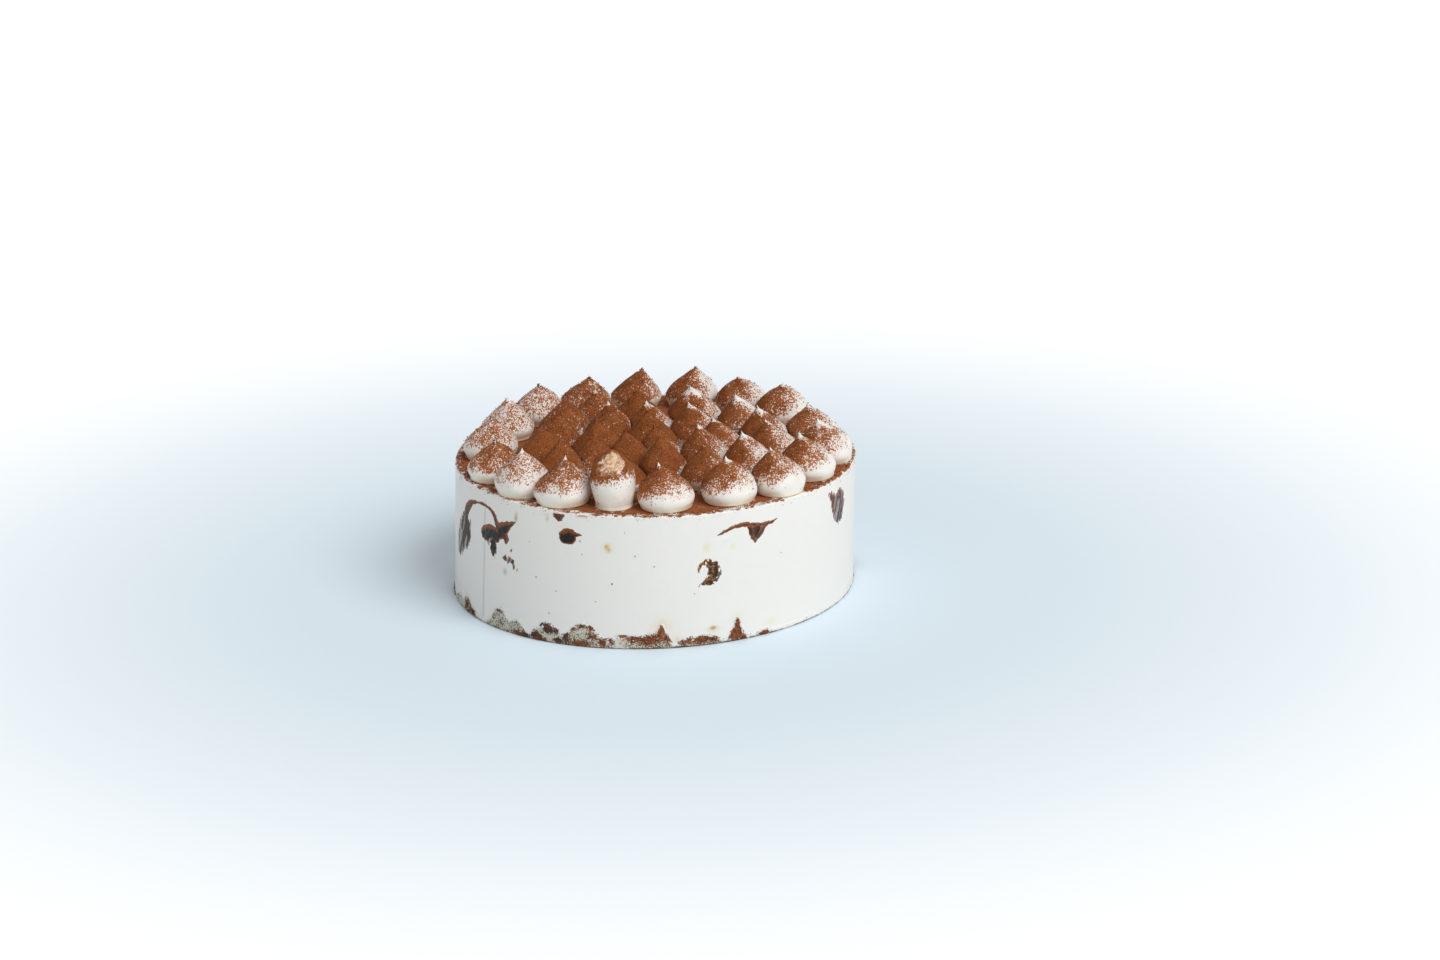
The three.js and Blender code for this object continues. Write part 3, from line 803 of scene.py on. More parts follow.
sponge = {
    "columns": 1800, "sideRows": 46, "proud": 0.16, "over": 2.2, "footBevel": 0.4,
    "undersideIn": 30.0, "tuckDown": 0.3, "tuckIn": 1.2, "topDown": 0.2, "frontFrom": (187, 193),
    "frontTo": (361, 355), "creamFrom": (306, 312), "creamTo": (359, 355), "creamFilm": 0.8,
    "spotGain": 1.05, "patchy": (1.0, 9.0), "speckled": (0.26, 0.24), "hidden": (0.62, 0.5),
    "hiddenEdge": 0.35, "hiddenRust": (0.8, 30.0), "meanRust": 0.55, "film": (0.9, 0.3),
    "relief": (0.16, 2.4), "crumbRelief": (0.2, 1.2), "sunk": 0.5, "footShade": 0.8,
    "footRagged": (0.4, 2.0),
}
# Where brown sponge shows through at the front: turn, height, half-width, half-height, how much
# and how rusty
brownSpots = [
    (194.5, 5.0, 2.2, 4.6, 0.62, 0.4), (199.5, 8.4, 3.0, 2.0, 0.42, 0.5), (203.6, 3.4, 2.6, 2.4, 0.46, 0.4),
    (253.0, 6.0, 3.0, 2.0, 0.62, 0.5), (256.5, 3.6, 3.0, 2.2, 0.8, 0.75), (278.0, 3.2, 3.0, 1.6, 0.7, 0.9),
    (208.4, 2.6, 3.0, 2.2, 0.62, 0.2), (221.7, 9.9, 5.2, 0.9, 0.62, 0.5),
    (219.1, 5.6, 1.0, 2.4, 0.6, 0.4), (225.6, 9.8, 1.0, 1.6, 0.6, 0.4), (229.2, 1.4, 3.0, 1.1, 0.8, 0.5),
    (231.9, 1.2, 2.0, 1.1, 1.1, 0.0), (238.8, 8.8, 4.8, 1.1, 0.95, 0.1), (234.7, 5.8, 2.0, 1.1, 0.85, 0.4),
    (242.3, 6.8, 2.4, 1.7, 0.95, 0.3), (235.9, 2.6, 3.0, 1.6, 1.0, 0.1), (239.9, 6.4, 3.2, 1.3, 1.1, 0.0),
    (237.8, 1.0, 3.0, 1.1, 0.95, 0.4), (243.0, 2.0, 2.8, 1.2, 0.9, 0.2), (245.4, 4.4, 1.7, 2.4, 1.2, 0.1),
    (247.0, 9.2, 2.8, 1.2, 0.95, 0.85), (249.6, 10.8, 3.3, 1.2, 1.0, 0.9), (252.8, 10.4, 3.4, 1.5, 0.95, 0.9),
    (255.5, 8.4, 2.2, 1.6, 0.8, 0.8), (249.7, 2.0, 4.2, 1.2, 0.85, 0.6), (257.6, 7.0, 1.1, 2.3, 0.95, 0.5),
    (258.4, 4.0, 1.2, 1.6, 0.9, 0.7), (261.6, 7.2, 3.8, 1.2, 0.95, 0.95), (265.0, 5.8, 4.6, 2.0, 1.0, 0.9),
    (269.0, 5.4, 4.0, 2.4, 0.95, 0.9), (272.3, 9.0, 1.5, 3.6, 1.0, 1.0), (270.3, 6.8, 2.4, 1.7, 0.85, 0.9),
    (274.6, 7.0, 2.0, 1.4, 0.75, 1.0), (275.0, 4.8, 3.2, 1.9, 0.95, 0.9),
    (280.3, 3.8, 2.6, 1.9, 0.9, 0.9), (283.8, 3.6, 3.4, 1.9, 0.98, 0.9), (287.2, 3.2, 2.6, 1.7, 0.9, 0.8),
    (294.2, 9.6, 1.2, 3.0, 1.4, 0.9), (293.9, 4.0, 3.9, 2.8, 1.25, 0.95), (296.1, 1.8, 2.0, 1.4, 1.0, 0.9),
    (302.7, 1.4, 3.6, 1.2, 0.95, 0.8),
]


# The strongest spot decides how much shows, each being a bell of its size; how rusty it is there
# is their mean, weighed by how much each shows
def paintSpots(turn, height):
    amount = np.zeros(height.shape)
    total = np.full(height.shape, 0.05)
    rusty = np.zeros(height.shape)
    for middle, level, wide, tall, most, rust in brownSpots:
        across = degreesFrom(turn, middle) * drum["perDegree"]
        bell = most * np.exp(-((across / wide) ** 2) - ((height - level) / tall) ** 2)
        amount = np.maximum(amount, bell)
        total += bell
        rusty += bell * rust
    return amount, rusty / total


# The sponge: its side follows the uneven edge and sinks under the cream above it. In front the
# spots say where it is brown, with a few specks besides; at the back noise does
def makeSponge(finish):
    steps = sponge["columns"]
    turn = allRound(steps)
    degrees = np.degrees(turn)
    edge = spongeEdge(turn)
    share = np.linspace(0, 1, sponge["sideRows"])[:, None]
    height = lerp(sponge["footBevel"], edge + sponge["over"], share)
    side = sidePoint(turn, height, sponge["proud"])
    inside = edge - height
    patchy = waver(side, sponge["patchy"], 45, 3)
    amount, rust = paintSpots(turn, height)
    speckled = vary(sponge["speckled"], patchy) * ease(-0.2, 1.2, inside)
    hidden = ease(-0.4, 0.5, inside) * vary(sponge["hidden"], patchy)
    hidden = hidden + sponge["hiddenEdge"] * ease(2.4, 0.6, inside) * ease(0, 0.5, inside)
    hiddenRust = np.clip(sponge["meanRust"] + waver(side, sponge["hiddenRust"], 46), 0, 1)
    front = ease(*sponge["frontFrom"], degrees) * ease(*sponge["frontTo"], degrees)
    bareCream = ease(*sponge["creamFrom"], degrees) * ease(*sponge["creamTo"], degrees)
    brown = lerp(hidden, sponge["spotGain"] * amount + speckled, front) * (1 - bareCream)
    rust = lerp(hiddenRust, rust, front)
    film = ease(-0.6, 1.0, inside) * np.clip(vary(sponge["film"], patchy), 0, 1)
    film = film * (1 - sponge["creamFilm"] * bareCream)
    crumbly = sponge["crumbRelief"][0] * ease(0.3, 0.7, brown) * noise(side, sponge["crumbRelief"][1], 42, 2)
    relief = (waver(side, sponge["relief"], 41, 3) + crumbly) * ease(-0.8, 1.0, inside)
    sunk = sponge["sunk"] * ease(0.6, 1.0, share) * ease(-0.9, -2.2, inside)
    out = outwardFrom(turn)
    side = side + out * (relief - sunk)[..., None]
    top = drum["spongeThickness"] - sponge["topDown"]
    rows = np.concatenate(
        [
            [sidePoint(turn, np.zeros(steps), -sponge["undersideIn"])],
            [sidePoint(turn, np.zeros(steps), -sponge["footBevel"])],
            side,
            [sidePoint(turn, edge + sponge["over"] - sponge["tuckDown"], -sponge["tuckIn"])],
            [sidePoint(turn, np.full(steps, top), -drum["spongeSlope"])],
        ]
    )
    values = {"brown": brown, "rust": rust, "film": film}
    for key, value in values.items():
        values[key] = np.concatenate([value[:1], value[:1], value, value[-1:], value[-1:]])
    # A ragged band along the bottom darkens towards the foot shade: partly the sponge's own darker bottom,
    # partly painted contact shadow under the cake
    damp = ease(1.1, 0.3, rows[..., 2] + waver(rows, sponge["footRagged"], 43))
    values["foot"] = sponge["footShade"] * damp
    lowPole = [drum["footCentre"], 0, 0]
    base = closedPiece("sponge_base", rows, lowPole, [0, 0, top], finish, values)
    place(base, ["sponge_base"], "sponge")
    return side, brown, out


crumbs = {
    "onSponge": 2600, "smallest": 0.14, "largest": 0.4, "onBrown": (0.35, 0.9), "proud": 0.1,
    "jitter": 0.12, "lowest": 0.6, "speckGrowth": 1.4, "speckProud": 0.02,
}
# Specks caught in the side: turn, height and size
sideSpecks = [
    (235.5, 32.6, 0.34), (242.1, 27.2, 0.34), (249.2, 54.4, 0.38), (249.9, 47.8, 0.3), (264.9, 48.2, 0.3),
    (270.2, 42.6, 0.36), (258.6, 33.6, 0.44), (240.0, 15.2, 0.3), (226.3, 43.2, 0.5), (226.1, 42.4, 0.36),
    (233.0, 50.0, 0.22), (262.0, 60.0, 0.22), (281.5, 27.5, 0.24), (308.0, 41.0, 0.24), (254.0, 24.0, 0.2),
]


# Crumbs on the sponge's brown places, and the specks caught in the side
def makeCrumbs(side, brown, out, finish):
    draw = np.random.default_rng(8)
    chance = ease(*crumbs["onBrown"], brown).ravel()
    picked = draw.choice(len(chance), crumbs["onSponge"], p=chance / chance.sum())
    radii = lerp(crumbs["smallest"], crumbs["largest"], draw.random(len(picked)) ** 2)
    outward = np.broadcast_to(out, side.shape).reshape(-1, 3)[picked]
    places = side.reshape(-1, 3)[picked] + outward * (crumbs["proud"] * radii)[:, None]
    places = places + draw.normal(size=places.shape) * crumbs["jitter"]
    places[:, 2] = np.maximum(places[:, 2], crumbs["lowest"])
    speck = np.array(sideSpecks)
    caught = sidePoint(np.radians(speck[:, 0]), speck[:, 1], crumbs["speckProud"])
    places = np.concatenate([places, caught])
    radii = np.concatenate([radii, crumbs["speckGrowth"] * speck[:, 2]])
    return scatter("sponge_crumbs", places, radii, finish, draw, "soaked_crumb")


patchForm = {
    "spacing": 0.24, "margin": 1.6, "highest": 67.2, "proud": 0.07, "sunk": 0.5, "back": 2.2,
    "uneven": (0.04, 1.1), "ragged": (0.34, 1.3), "torn": (0.9, 1.5), "tornStretch": (0.5, 1, 0.6),
    "specks": (1.0, 0.8), "holes": (1.0, 1.3), "holeDepth": 2.0, "streakLean": 0.3,
    "streaks": (1.0, 0.95, 7), "streakDepth": 2.2, "scratches": (1.0, 1.25, 6), "scratchShare": 0.95,
    "filmShare": 0.6,
}
# Ways a stroke is coloured: its rim, its middle, how far in the middle begins, how streaky, how
# glossy and how crumbly it is
strokeLooks = {
    "streaky": ((128, 76, 48), (60, 36, 28), 1.6, 0.8, 0.3, 0.1),
    "line": ((158, 98, 60), (104, 60, 38), 1.1, 0.1, 0.2, 0.1),
    "lobe": ((140, 82, 44), (34, 26, 28), 2.5, 0.04, 0.8, 0.0),
    "pool": ((132, 72, 36), (26, 20, 22), 2.7, 0.0, 1.0, 0.05),
    "wedge": ((140, 80, 44), (58, 30, 24), 2.2, 0.05, 0.5, 0.1),
    "tail": ((90, 80, 76), (46, 38, 38), 1.0, 1.0, 0.3, 0.3),
    "dot": ((134, 78, 42), (92, 50, 28), 2.0, 0.1, 0.3, 0.2),
    "crust": ((178, 124, 76), (146, 92, 52), 0.9, 0.2, 0.1, 0.9),
    "crumb": ((126, 82, 50), (76, 52, 36), 1.8, 0.2, 0.15, 0.8),
    "golden": ((150, 118, 84), (92, 68, 48), 1.0, 0.9, 0.1, 0.7),
    "prong": ((156, 104, 84), (104, 64, 52), 1.8, 0.4, 0.3, 0.1),
    "slate": ((92, 78, 74), (58, 54, 60), 1.4, 0.7, 0.4, 0.1),
}
patches = {
    "sauce_swirl": [
        ("streaky", [
            (196, 27.2, 3), (196.4, 30.5, 9.5), (197.4, 34.5, 13), (199.8, 39.5, 17), (201.2, 43.5, 15),
            (201.4, 47.5, 7.5), (201.6, 51, 5.4),
        ]),
        ("streaky", [(203.2, 44.5, 7), (204.8, 47.4, 3.4), (205.3, 49.4, 1.2)]),
        ("line", [
            (201.6, 50.5, 5.4), (203.4, 55.4, 5.4), (206.2, 58.8, 3), (210, 60.8, 1.7), (213, 61.4, 1.7),
        ]),
        ("line", [
            (212, 61.3, 1.7), (216.2, 60.6, 2), (218.4, 58.2, 2.8), (219.6, 55, 3.2), (220.3, 52, 3.4),
        ]),
        ("lobe", [(214.2, 47.1, 7.6), (217, 47.9, 9.4), (219.2, 48.2, 8.2)]),
        ("lobe", [
            (221.2, 49.8, 6.6), (222.4, 52.2, 7.4), (224, 54.2, 5.4), (225.8, 56.2, 3.2), (227.6, 58, 0.8),
        ]),
        ("dot", [(222.4, 50.8, 5.6), (223.8, 48.6, 4.6), (224, 46.8, 2.8)]),
        ("tail", [(217.6, 45.2, 8.4), (218.1, 41.4, 6.8), (218.6, 38.4, 4.2), (218.9, 35.6, 1.4)]),
    ],
    "sauce_fleck": [
        ("golden", [(223.5, 38.2, 3), (224.6, 38.4, 2.8)]),
        ("golden", [(225, 38.2, 3.4), (226.2, 37.0, 3.8), (226.8, 36, 3)]),
        ("golden", [(226.8, 35.4, 3), (228, 33.8, 1.8)]),
    ],
    "sauce_drop": [
        ("pool", [(244.9, 55.8, 7.8), (245.8, 56.2, 8.4)]),
        ("pool", [(246.6, 57, 4.4), (248.2, 57.4, 2.4), (249.8, 57.5, 0.8)]),
    ],
    "sauce_dot": [
        ("dot", [(241.6, 66.4, 3), (242.6, 65.4, 4.6), (243.6, 66.4, 3)]),
    ],
    "sponge_curl": [
        ("crust", [(282.5, 37.8, 1.2), (282.9, 41, 2), (284.2, 43, 2.8), (285.8, 43.4, 3)]),
        ("crumb", [
            (285.6, 42.2, 4.6), (286.9, 40.4, 6), (287, 37.4, 7.4), (286.5, 34.8, 6.4), (285, 32.8, 4),
            (283, 31, 1.6),
        ]),
    ],
    "sauce_wedge": [
        ("line", [(288, 56.5, 0.9), (290.5, 58.4, 1.9), (293.5, 59.9, 2.3), (297, 59.9, 2.6)]),
        ("wedge", [(296.8, 59.8, 2), (302.8, 57.9, 2)]),
        ("wedge", [(299.1, 50, 0.9), (298.2, 54, 3), (297.5, 58.2, 3)]),
        ("wedge", [(299.3, 50, 0.9), (300.6, 54, 3.4), (302, 57, 2.6)]),
        ("wedge", [(299.3, 53, 3.2), (299.7, 56.8, 6)]),
        ("line", [(302, 58.4, 2.2), (304.5, 58.6, 1.8), (306.4, 59.7, 0.8)]),
    ],
    "sauce_streak": [
        ("prong", [(329, 61.6, 3.2), (330.4, 58.6, 5.4), (332, 55, 8.6), (333, 52, 10)]),
        ("prong", [(334.6, 60.2, 4), (336, 57.4, 6), (336.4, 54, 8), (336.2, 51, 9)]),
        ("prong", [(332.8, 56.4, 7), (333.8, 53, 12)]),
        ("slate", [(334.2, 53.6, 12), (334.6, 51, 13), (334.8, 49.6, 12.4)]),
    ],
}


# A stroke's line drawn smooth through its points: eight places to a span on a cubic whose
# slope at each point is half the step from the point before to the point after
def smoothLine(stroke):
    line = np.array(stroke, float)
    line[:, 0] = np.radians(line[:, 0]) * drum["footRadius"]
    if len(line) < 3:
        return line
    slope = np.gradient(line, axis=0)
    share = (np.arange(8) / 8)[:, None, None]
    blend = share * share * (3 - 2 * share)
    bow = share * (1 - share)
    spans = lerp(line[:-1], line[1:], blend) + bow * ((1 - share) * slope[:-1] - share * slope[1:])
    return np.concatenate([spans.transpose(1, 0, 2).reshape(-1, 3), line[-1:]])


# How deep inside a stroke each place of the wall is: for each short run of its line, the run's
# half-width there less the distance to it, and the greatest of these
def strokeDepth(across, height, stroke):
    line = smoothLine(stroke)
    depth = np.full(across.shape, -99.0)
    for (x0, z0, w0), (x1, z1, w1) in zip(line[:-1], line[1:]):
        length = max(math.hypot(x1 - x0, z1 - z0), 1e-3)
        share = np.clip(((across - x0) * (x1 - x0) + (height - z0) * (z1 - z0)) / length**2, 0, 1)
        away = np.hypot(across - lerp(x0, x1, share), height - lerp(z0, z1, share))
        depth = np.maximum(depth, lerp(w0, w1, share) / 2 - away)
    return depth


# A patch is a sheet over the wall that stands a hair proud where it is inside its strokes and
# dips under the cream outside them, so the line where it comes out is its ragged edge
def makePatch(name, strokes, finish, seed):
    use = patchForm
    every = np.array([point for _, stroke in strokes for point in stroke], float)
    reach = every[:, 2] / 2 + use["margin"]
    wide = np.radians(every[:, 0]) * drum["footRadius"]
    columns = np.arange((wide - reach).min(), (wide + reach).max(), use["spacing"])
    low = (every[:, 1] - reach).min()
    levels = np.arange(low, min((every[:, 1] + reach).max(), use["highest"]), use["spacing"])
    across, height = np.meshgrid(columns, levels)
    turn = across / drum["footRadius"]
    wall = sidePoint(turn, height, 0.0)
    ragged = waver(wall, use["ragged"], seed, 3)
    torn = waver(wall * np.array(use["tornStretch"]), use["torn"], seed + 3, 3)
    specks = waver(wall, use["specks"], seed + 7)
    holes = waver(wall, use["holes"], seed + 11)
    along = across * use["streakLean"] + height
    beside = across - height * use["streakLean"]
    streaks, scratches = (
        waver(np.stack([beside, along / form[2], np.zeros(across.shape)], -1), form[:2], seed + more, octaves)
        for form, more, octaves in ((use["streaks"], 5, 2), (use["scratches"], 6, 1))
    )
    depth = np.full(across.shape, -99.0)
    tint = np.broadcast_to(colours["cream"][:3], (*across.shape, 3)).copy()
    gloss = np.zeros(across.shape)
    for lookName, stroke in strokes:
        rim, middle, inwards, streaky, shiny, crumbly = strokeLooks[lookName]
        own = strokeDepth(across, height, stroke) + lerp(ragged, torn, min(1.0, 2 * streaky))
        own = own - use["streakDepth"] * streaky * ease(0.2, 0.5, streaks)
        own = own - use["holeDepth"] * crumbly * ease(0.25, 0.6, holes)
        upper = ease(-0.2, 0.9, -np.gradient(own, axis=0) / use["spacing"])
        begins = inwards * (0.4 + 0.8 * upper)
        smear = use["scratchShare"] * streaky * ease(0.2, 0.32, scratches)
        colour = paint(*rim)[:3]
        for shade, share in (
            (paint(*middle), ease(0.3 * begins, begins, own + 0.5 * specks)),
            (colours["crumbPale"], crumbly * ease(0.12, 0.4, specks)),
            (colours["crumbDark"], crumbly * ease(-0.12, -0.4, specks)),
            (colours["smear"], smear),
        ):
            colour = lerp(colour, shade[:3], share[..., None])
        wins = ease(-0.5, 0.5, own - depth)
        tint = lerp(tint, colour, wins[..., None])
        gloss = lerp(gloss, shiny * ease(0.1, 0.9, own) * (1 - smear), wins)
        depth = np.maximum(depth, own)
    film = ease(0.25, -0.25, depth)
    tint = lerp(tint, colours["cream"][:3], use["filmShare"] * film[..., None])
    outwards = np.clip(depth * 0.5, -use["sunk"], use["proud"]) + waver(wall, use["uneven"], seed + 9)
    surface = sidePoint(turn, height, outwards + wallRelief(wall, turn))
    count, steps = across.shape
    index = np.arange(count * steps).reshape(count, steps)
    quads = np.stack([index[:-1, :-1], index[:-1, 1:], index[1:, 1:], index[1:, :-1]], -1).reshape(-1, 4)
    border = np.concatenate([index[0, :-1], index[:-1, -1], index[-1, :0:-1], index[:0:-1, 0]])
    fan = np.stack([np.roll(border, -1), border, np.full(len(border), count * steps)], -1)
    back = sidePoint(turn.mean(), height.mean(), -use["back"])
    points = np.concatenate([surface.reshape(-1, 3), [back]])
    corners = np.concatenate([quads.ravel(), fan.ravel()])
    sizes = np.concatenate([np.full(len(quads), 4), np.full(len(fan), 3)])
    painted = np.concatenate([tint, np.ones((count, steps, 1))], -1).reshape(-1, 4)
    values = {"tint": np.concatenate([painted, painted[:1]]), "gloss": np.append(gloss.ravel(), 0.0)}
    piece = meshFrom(name, points, corners, sizes, finish, values)
    return place(piece, [name], "soaked_crumb" if name.startswith("sponge") else "dark_sauce")


cocoaFall = {
    "lean": (-0.55, 0.04), "leftLean": (-0.25, 0.04), "rightFrom": (-20.0, 30.0),
    "rearFrom": (-85.0, -25.0), "inwards": 0.26, "nearMiddle": 60.0, "broad": (0.1, 6.0),
    "fine": (0.05, 1.8), "under": 0.12, "patchy": (0.17, 4.0), "creaseCover": 0.45,
    "crease": (0.5, 3.0), "tipRagged": (0.3, 2.0), "tipBare": 0.9, "bounds": (-0.5, 1.6),
}


# Cocoa kept by a dollop: high where it faces the way the cocoa fell from, which leans to -X and
# towards the middle of the cake, and in the creases pressed between neighbours; the bare tip of
# one that was touched up last stays white
def dollopCover(dollop, rows, normals, pressed):
    use = cocoaFall
    towards = -dollop["foot"] / max(use["nearMiddle"], np.linalg.norm(dollop["foot"]))
    rearRight = ease(*use["rightFrom"], dollop["foot"][0]) * ease(*use["rearFrom"], dollop["foot"][1])
    lean = lerp(np.array(use["leftLean"]), np.array(use["lean"]), rearRight)
    fall = np.array([*(lean + use["inwards"] * towards), 1.0])
    fall = fall / np.linalg.norm(fall)
    most, half, spread = dollop["dust"]
    facing = normals @ fall + waver(rows, use["broad"], 51) + waver(rows, use["fine"], 52)
    cover = most * ease(half - spread, half + spread, facing)
    cover = cover - use["under"] * ease(half, half - 2 * spread, facing)
    cover = cover + waver(rows, use["patchy"], 53)
    cover = cover + use["creaseCover"] * ease(*use["crease"], pressed)
    bareDown = dollop["whiteDown"]
    if bareDown:
        ragged, size = use["tipRagged"]
        below = drum["height"] + drum["gap"] + dollop["height"] - rows[..., 2]
        below = below + ragged * bareDown * noise(rows, size, 54, 2)
        cover = cover - use["tipBare"] * ease(1.7 * bareDown, 0.5 * bareDown, below)
    return np.clip(cover, *use["bounds"])


# The warm entries tint downward faces and the foot beige as painted shade and bounce light from the cocoa
# deck; the crease entries set where painted shade darkens the cocoa in creases
dollopSkin = {
    "highest": 0.994, "levelPower": 1.2, "lumps": (0.24, 7.5), "ripples": (0.04, 1.9), "crust": 0.14,
    "crustRipples": (1.0, 1.3), "skirt": 0.75, "skirtHeight": 0.8, "skirtFree": (1.0, 0.2),
    "free": (0.0, 1.2), "bounceShadeUnder": 0.5, "under": (0.12, -0.45), "bounceShadeFoot": 0.6, "foot": (1.8, 0.3),
    "crease": (0.3, 3.6), "creaseShadeTop": (14.0, 5.0),
}
# The damp place on one dollop, caramel where the cocoa took up moisture
dampPlace = {
    "dollop": "outer_18", "offset": (-0.6, -4.5), "wobble": (2.2, 2.6), "within": (7.0, 2.8),
    "above": (17.0, 19.5), "cover": 0.85,
}


# One dollop with its lumps, its crust of cocoa and the thin skirt where it settled on the deck.
# Its rows, normals and cover are kept for the loose grains
def makeDollop(dollop, finish):
    use = dollopSkin
    others = [
        other
        for other in dollops
        if other is not dollop and np.linalg.norm(other["foot"] - dollop["foot"]) < dollopForm["nearby"]
    ]
    levels = 1 - (1 - np.linspace(0, use["highest"], dollopForm["levels"])) ** use["levelPower"]
    turns = allRound(dollopForm["steps"])
    rows, pressed = dollopRows(dollop, others, levels, turns)
    normals = gridNormals(rows)
    cover = dollopCover(dollop, rows, normals, pressed)
    high = rows[..., 2] - drum["height"] - drum["gap"]
    lumps = waver(rows, use["lumps"], 61) + waver(rows, use["ripples"], 62)
    crust = use["crust"] * np.clip(cover, 0, 1) * (1 + waver(rows, use["crustRipples"], 63))
    skirt = use["skirt"] * np.exp(-((high / use["skirtHeight"]) ** 2))
    rows = rows + normals * ((lumps + crust)[..., None] * ease(*use["free"], high)[..., None])
    flat = normals * np.array([1, 1, 0])
    rows = rows + flat * (skirt * ease(*use["skirtFree"], pressed))[..., None]
    dollop["rows"], dollop["normals"], dollop["cover"] = rows, normals, cover
    damp = np.zeros(rows.shape[:2])
    if dollop["name"] == dampPlace["dollop"]:
        away = np.linalg.norm(rows[..., :2] - (dollop["foot"] + np.array(dampPlace["offset"])), axis=-1)
        damp = ease(*dampPlace["within"], away + waver(rows, dampPlace["wobble"], 64))
        damp = damp * ease(*dampPlace["above"], high)
        cover = np.maximum(cover * (1 - damp), dampPlace["cover"] * damp)
    # Painted shade and bounce light from the cocoa deck: downward faces and a band at the foot turn warm
    # beige
    under = use["bounceShadeUnder"] * ease(*use["under"], normals[..., 2])
    values = {
        "cover": cover,
        "bounceShade": np.clip(under + use["bounceShadeFoot"] * ease(*use["foot"], high), 0, 1),
        "damp": damp,
        # Painted crease shade: how much the cocoa darkens where neighbours press the dollop, low down on it
        "deep": ease(*use["crease"], pressed) * ease(*use["creaseShadeTop"], high),
    }
    base = drum["height"] + drum["gap"]
    tip = dollop["foot"] + np.array([dollop["pullX"], dollop["pullY"]])
    name = "dollop_" + dollop["name"]
    lowPole = [*dollop["foot"], base]
    highPole = [*tip, base + dollop["height"]]
    piece = closedPiece(name, rows, lowPole, highPole, finish, values)
    return place(piece, [name], "piped_cream" if dollop["name"].startswith("outer") else "cocoa_cream")


grains = {
    "onDollops": 7000, "onRim": 6500, "overRim": 500, "smallest": 0.16, "largest": 0.42,
    "inView": (-0.3, 0.3), "least": 0.02, "jitter": 0.25, "proud": 0.15, "rimInset": 0.4,
    "rimWidth": 4.6, "rimPower": 1.4, "rimDrop": 0.5, "fallenFrom": 0.9, "fallenReach": 2.6,
    "fallenPower": 2.5, "fallenSmallest": 0.12, "fallenLargest": 0.3,
}


# Many small lumps as one mesh. Each is an eight-sided diamond whose six corners are pushed out
# by different amounts and which is turned by a random rotation
def scatter(name, places, radii, finish, draw, slot):
    count = len(places)
    corner = np.array([[1, 0, 0], [-1, 0, 0], [0, 1, 0], [0, -1, 0], [0, 0, 1], [0, 0, -1]], float)
    shape = corner * draw.uniform(0.6, 1.25, (count, 6, 1))
    turned, _ = np.linalg.qr(draw.normal(size=(count, 3, 3)))
    turned[:, :, 0] *= np.linalg.det(turned)[:, None]
    shape = np.einsum("nij,nkj->nki", turned, shape) * radii[:, None, None]
    points = (places[:, None, :] + shape).reshape(-1, 3)
    face = np.array([[0, 2, 4], [2, 1, 4], [1, 3, 4], [3, 0, 4], [2, 0, 5], [1, 2, 5], [3, 1, 5], [0, 3, 5]])
    corners = (face[None] + 6 * np.arange(count)[:, None, None]).ravel()
    piece = meshFrom(name, points, corners, np.full(count * 8, 3), finish, smooth=False)
    return place(piece, [], slot)


# Grains on the dollops gather where the cover breaks up, a few on bare cream and few in full
# cover; on the rim they lie in the line of dust, and some hang just below it
def makeGrains(finish):
    use = grains
    draw = np.random.default_rng(5)
    rows, normals = (
        np.concatenate([dollop[key][2:-1].reshape(-1, 3) for dollop in dollops])
        for key in ("rows", "normals")
    )
    cover = np.concatenate([dollop["cover"][2:-1].ravel() for dollop in dollops])
    inView = ease(*use["inView"], normals[:, 2] + 0.2)
    chance = (use["least"] + np.clip((cover + 0.1) * (1.1 - cover), 0, 1)) * inView
    picked = draw.choice(len(rows), use["onDollops"], p=chance / chance.sum())
    radii = lerp(use["smallest"], use["largest"], draw.random(len(picked)) ** 2)
    places = rows[picked] + draw.normal(size=(len(picked), 3)) * use["jitter"]
    onDollops = places + normals[picked] * (use["proud"] * radii)[:, None]
    turn = draw.uniform(0, 2 * math.pi, use["onRim"])
    kept = draw.random(len(turn)) < readTable(rimDust, turn)
    turn = turn[kept]
    inset = use["rimInset"] + use["rimWidth"] * draw.random(len(turn)) ** use["rimPower"]
    rim = sidePoint(turn, np.full(len(turn), drum["height"]), -inset)
    rim[:, 2] -= use["rimDrop"] * ease(1.1, 0.4, inset)
    rimRadii = lerp(use["smallest"], use["largest"], draw.random(len(turn)) ** 2)
    turn = draw.uniform(0, 2 * math.pi, use["overRim"])
    down = use["fallenReach"] * draw.random(len(turn)) ** use["fallenPower"]
    fallen = sidePoint(turn, drum["height"] - use["fallenFrom"] - down, 0.02)
    fallenRadii = lerp(use["fallenSmallest"], use["fallenLargest"], draw.random(len(turn)) ** 2)
    places = np.concatenate([onDollops, rim, fallen])
    radii = np.concatenate([radii, rimRadii, fallenRadii])
    return scatter("cocoa_grains", places, radii, finish, draw, "cocoa_cream")


sideFinish = sideCream("side cream")
dollopFinish = dustedCream("dusted piped cream")
spongeFinish = soakedSponge("soaked sponge")
patchFinish = wetPatch("wet patch")
grainFinish = looseGrain("cocoa grain", "cocoaDark", "cocoa")
crumbFinish = looseGrain("sponge crumb", "chocolate", "rust")

makeCreamBody(sideFinish)
print("cream body made")
makeCrumbs(*makeSponge(spongeFinish), crumbFinish)
print("sponge made")
for number, (patchName, patchStrokes) in enumerate(patches.items()):
    makePatch(patchName, patchStrokes, patchFinish, 70 + 20 * number)
print("patches made:", len(patches))
for oneDollop in dollops:
    makeDollop(oneDollop, dollopFinish)
print("dollops made:", len(dollops))
makeGrains(grainFinish)
print("grains made")


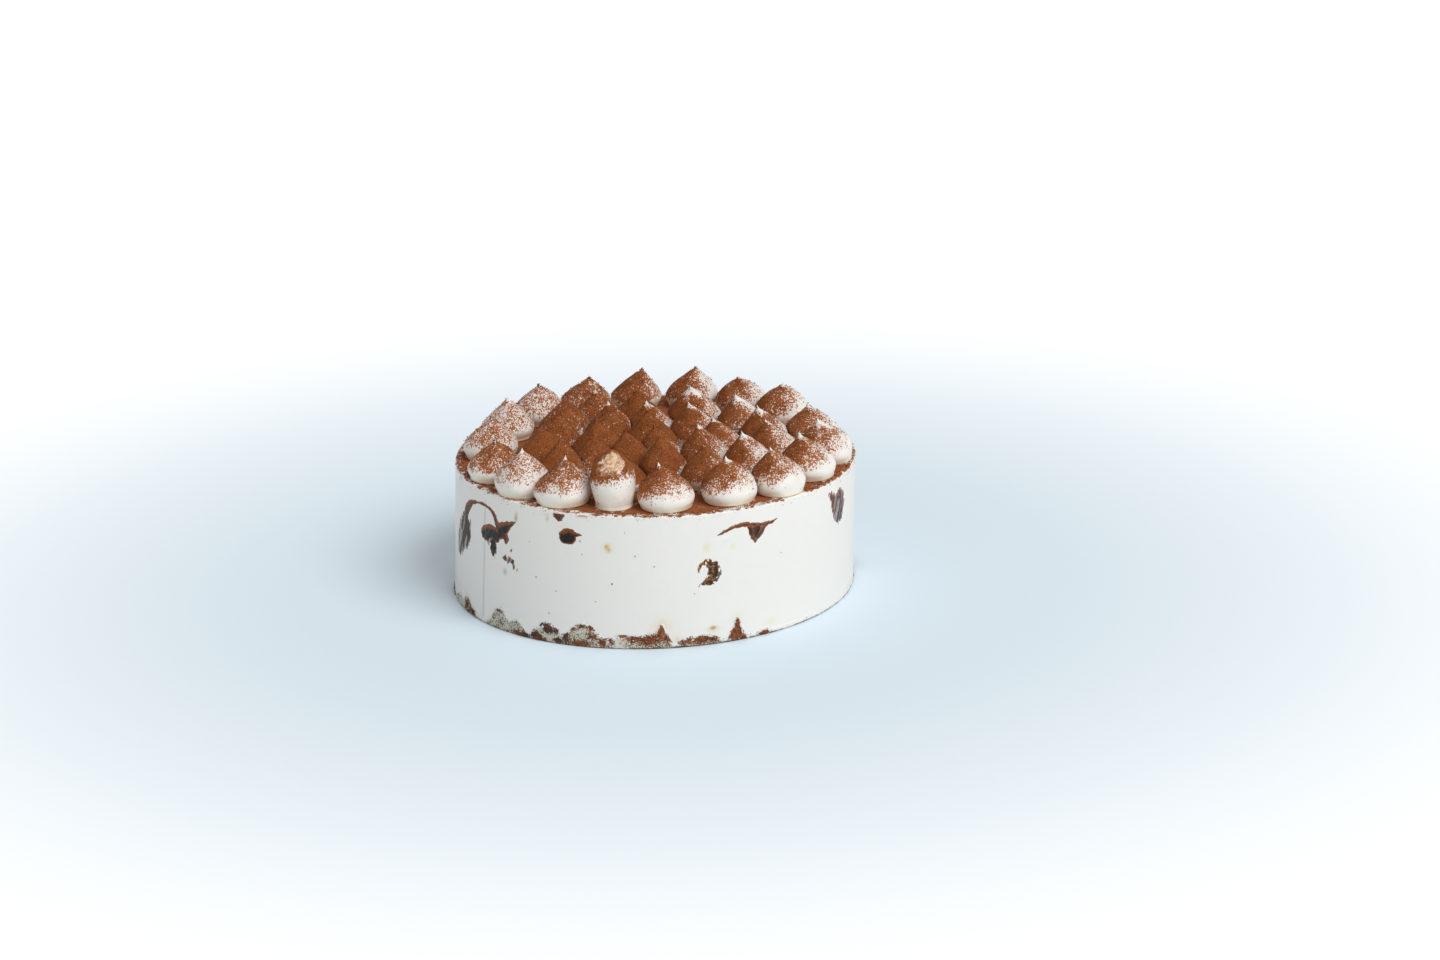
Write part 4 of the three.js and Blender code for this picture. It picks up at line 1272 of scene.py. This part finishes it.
studio = {
    "floorSize": 9.0, "floorGlow": 0.1, "farGlow": 0.3, "worldColour": (1.0, 1.0, 1.0, 1.0),
    "worldStrength": 0.36, "sunStrength": 2.0, "sunAngle": 38, "sunTurn": 315, "sunHeight": 48,
    "sunPlace": (1.2, -1.2, 1.6),
}
camera = {
    "place": (33.91, -2032.44, 719.33), "down": 18.15, "roll": -1.27, "lens": 105.0, "sensor": 36.0,
}


# A large pale sheet that glows a little, more so away from the cake, like a lit sweep
def makeFloor():
    half = studio["floorSize"] / 2
    corner = np.array([[-half, -half, 0], [half, -half, 0], [half, half, 0], [-half, half, 0]])
    look = Look("floor")
    away = look.node("VectorMath", {"operation": "LENGTH"}, {0: look.coords()}, out=1)
    far = away.between(0.12, 0.6)
    finish = look.surface(
        {
            "Base Color": look.layers("floorNear", (far, "floorFar")),
            "Roughness": 0.9,
            "Specular IOR Level": 0.1,
            "Emission Color": look.layers(grey(studio["floorGlow"]), (far, grey(studio["farGlow"]))),
            "Emission Strength": 1.0,
        }
    )
    floor = meshFrom("floor", corner / millimetre, np.arange(4), np.array([4]), finish, smooth=False)


# A wide soft sun from the front right
def makeSun():
    lamp = bpy.data.lights.new("key", "SUN")
    lamp.energy = studio["sunStrength"]
    lamp.angle = math.radians(studio["sunAngle"])
    light = bpy.data.objects.new("key", lamp)
    light.location = studio["sunPlace"]
    tilt = math.radians(90 - studio["sunHeight"])
    light.rotation_euler = (tilt, 0, math.radians(studio["sunTurn"] + 90))
    bpy.context.scene.collection.objects.link(light)


def makeWorld():
    world = bpy.data.worlds.new("soft studio")
    world.use_nodes = True
    background = world.node_tree.nodes["Background"]
    background.inputs["Color"].default_value = studio["worldColour"]
    background.inputs["Strength"].default_value = studio["worldStrength"]
    bpy.context.scene.world = world


# The camera looks down by its angle along +Y and is rolled about its own line of sight
def makeCamera():
    data = bpy.data.cameras.new("camera")
    data.lens = camera["lens"]
    data.sensor_width = camera["sensor"]
    data.clip_start = 0.05
    data.clip_end = 60
    view = bpy.data.objects.new("camera", data)
    down, roll = math.radians(camera["down"]), math.radians(camera["roll"])
    ahead = np.array([0, math.cos(down), -math.sin(down)])
    upright = np.array([0, math.sin(down), math.cos(down)])
    level = np.array([1.0, 0, 0])
    right = level * math.cos(roll) + upright * math.sin(roll)
    up = upright * math.cos(roll) - level * math.sin(roll)
    matrix = np.eye(4)
    matrix[:3, 0], matrix[:3, 1], matrix[:3, 2] = right, up, -ahead
    matrix[:3, 3] = np.array(camera["place"]) * millimetre
    view.matrix_world = Matrix(matrix)
    bpy.context.scene.collection.objects.link(view)
    bpy.context.scene.camera = view


makeFloor()
makeSun()
makeWorld()
makeCamera()
bpy.context.scene.view_settings.view_transform = "Standard"
print("stage, lights and camera made")
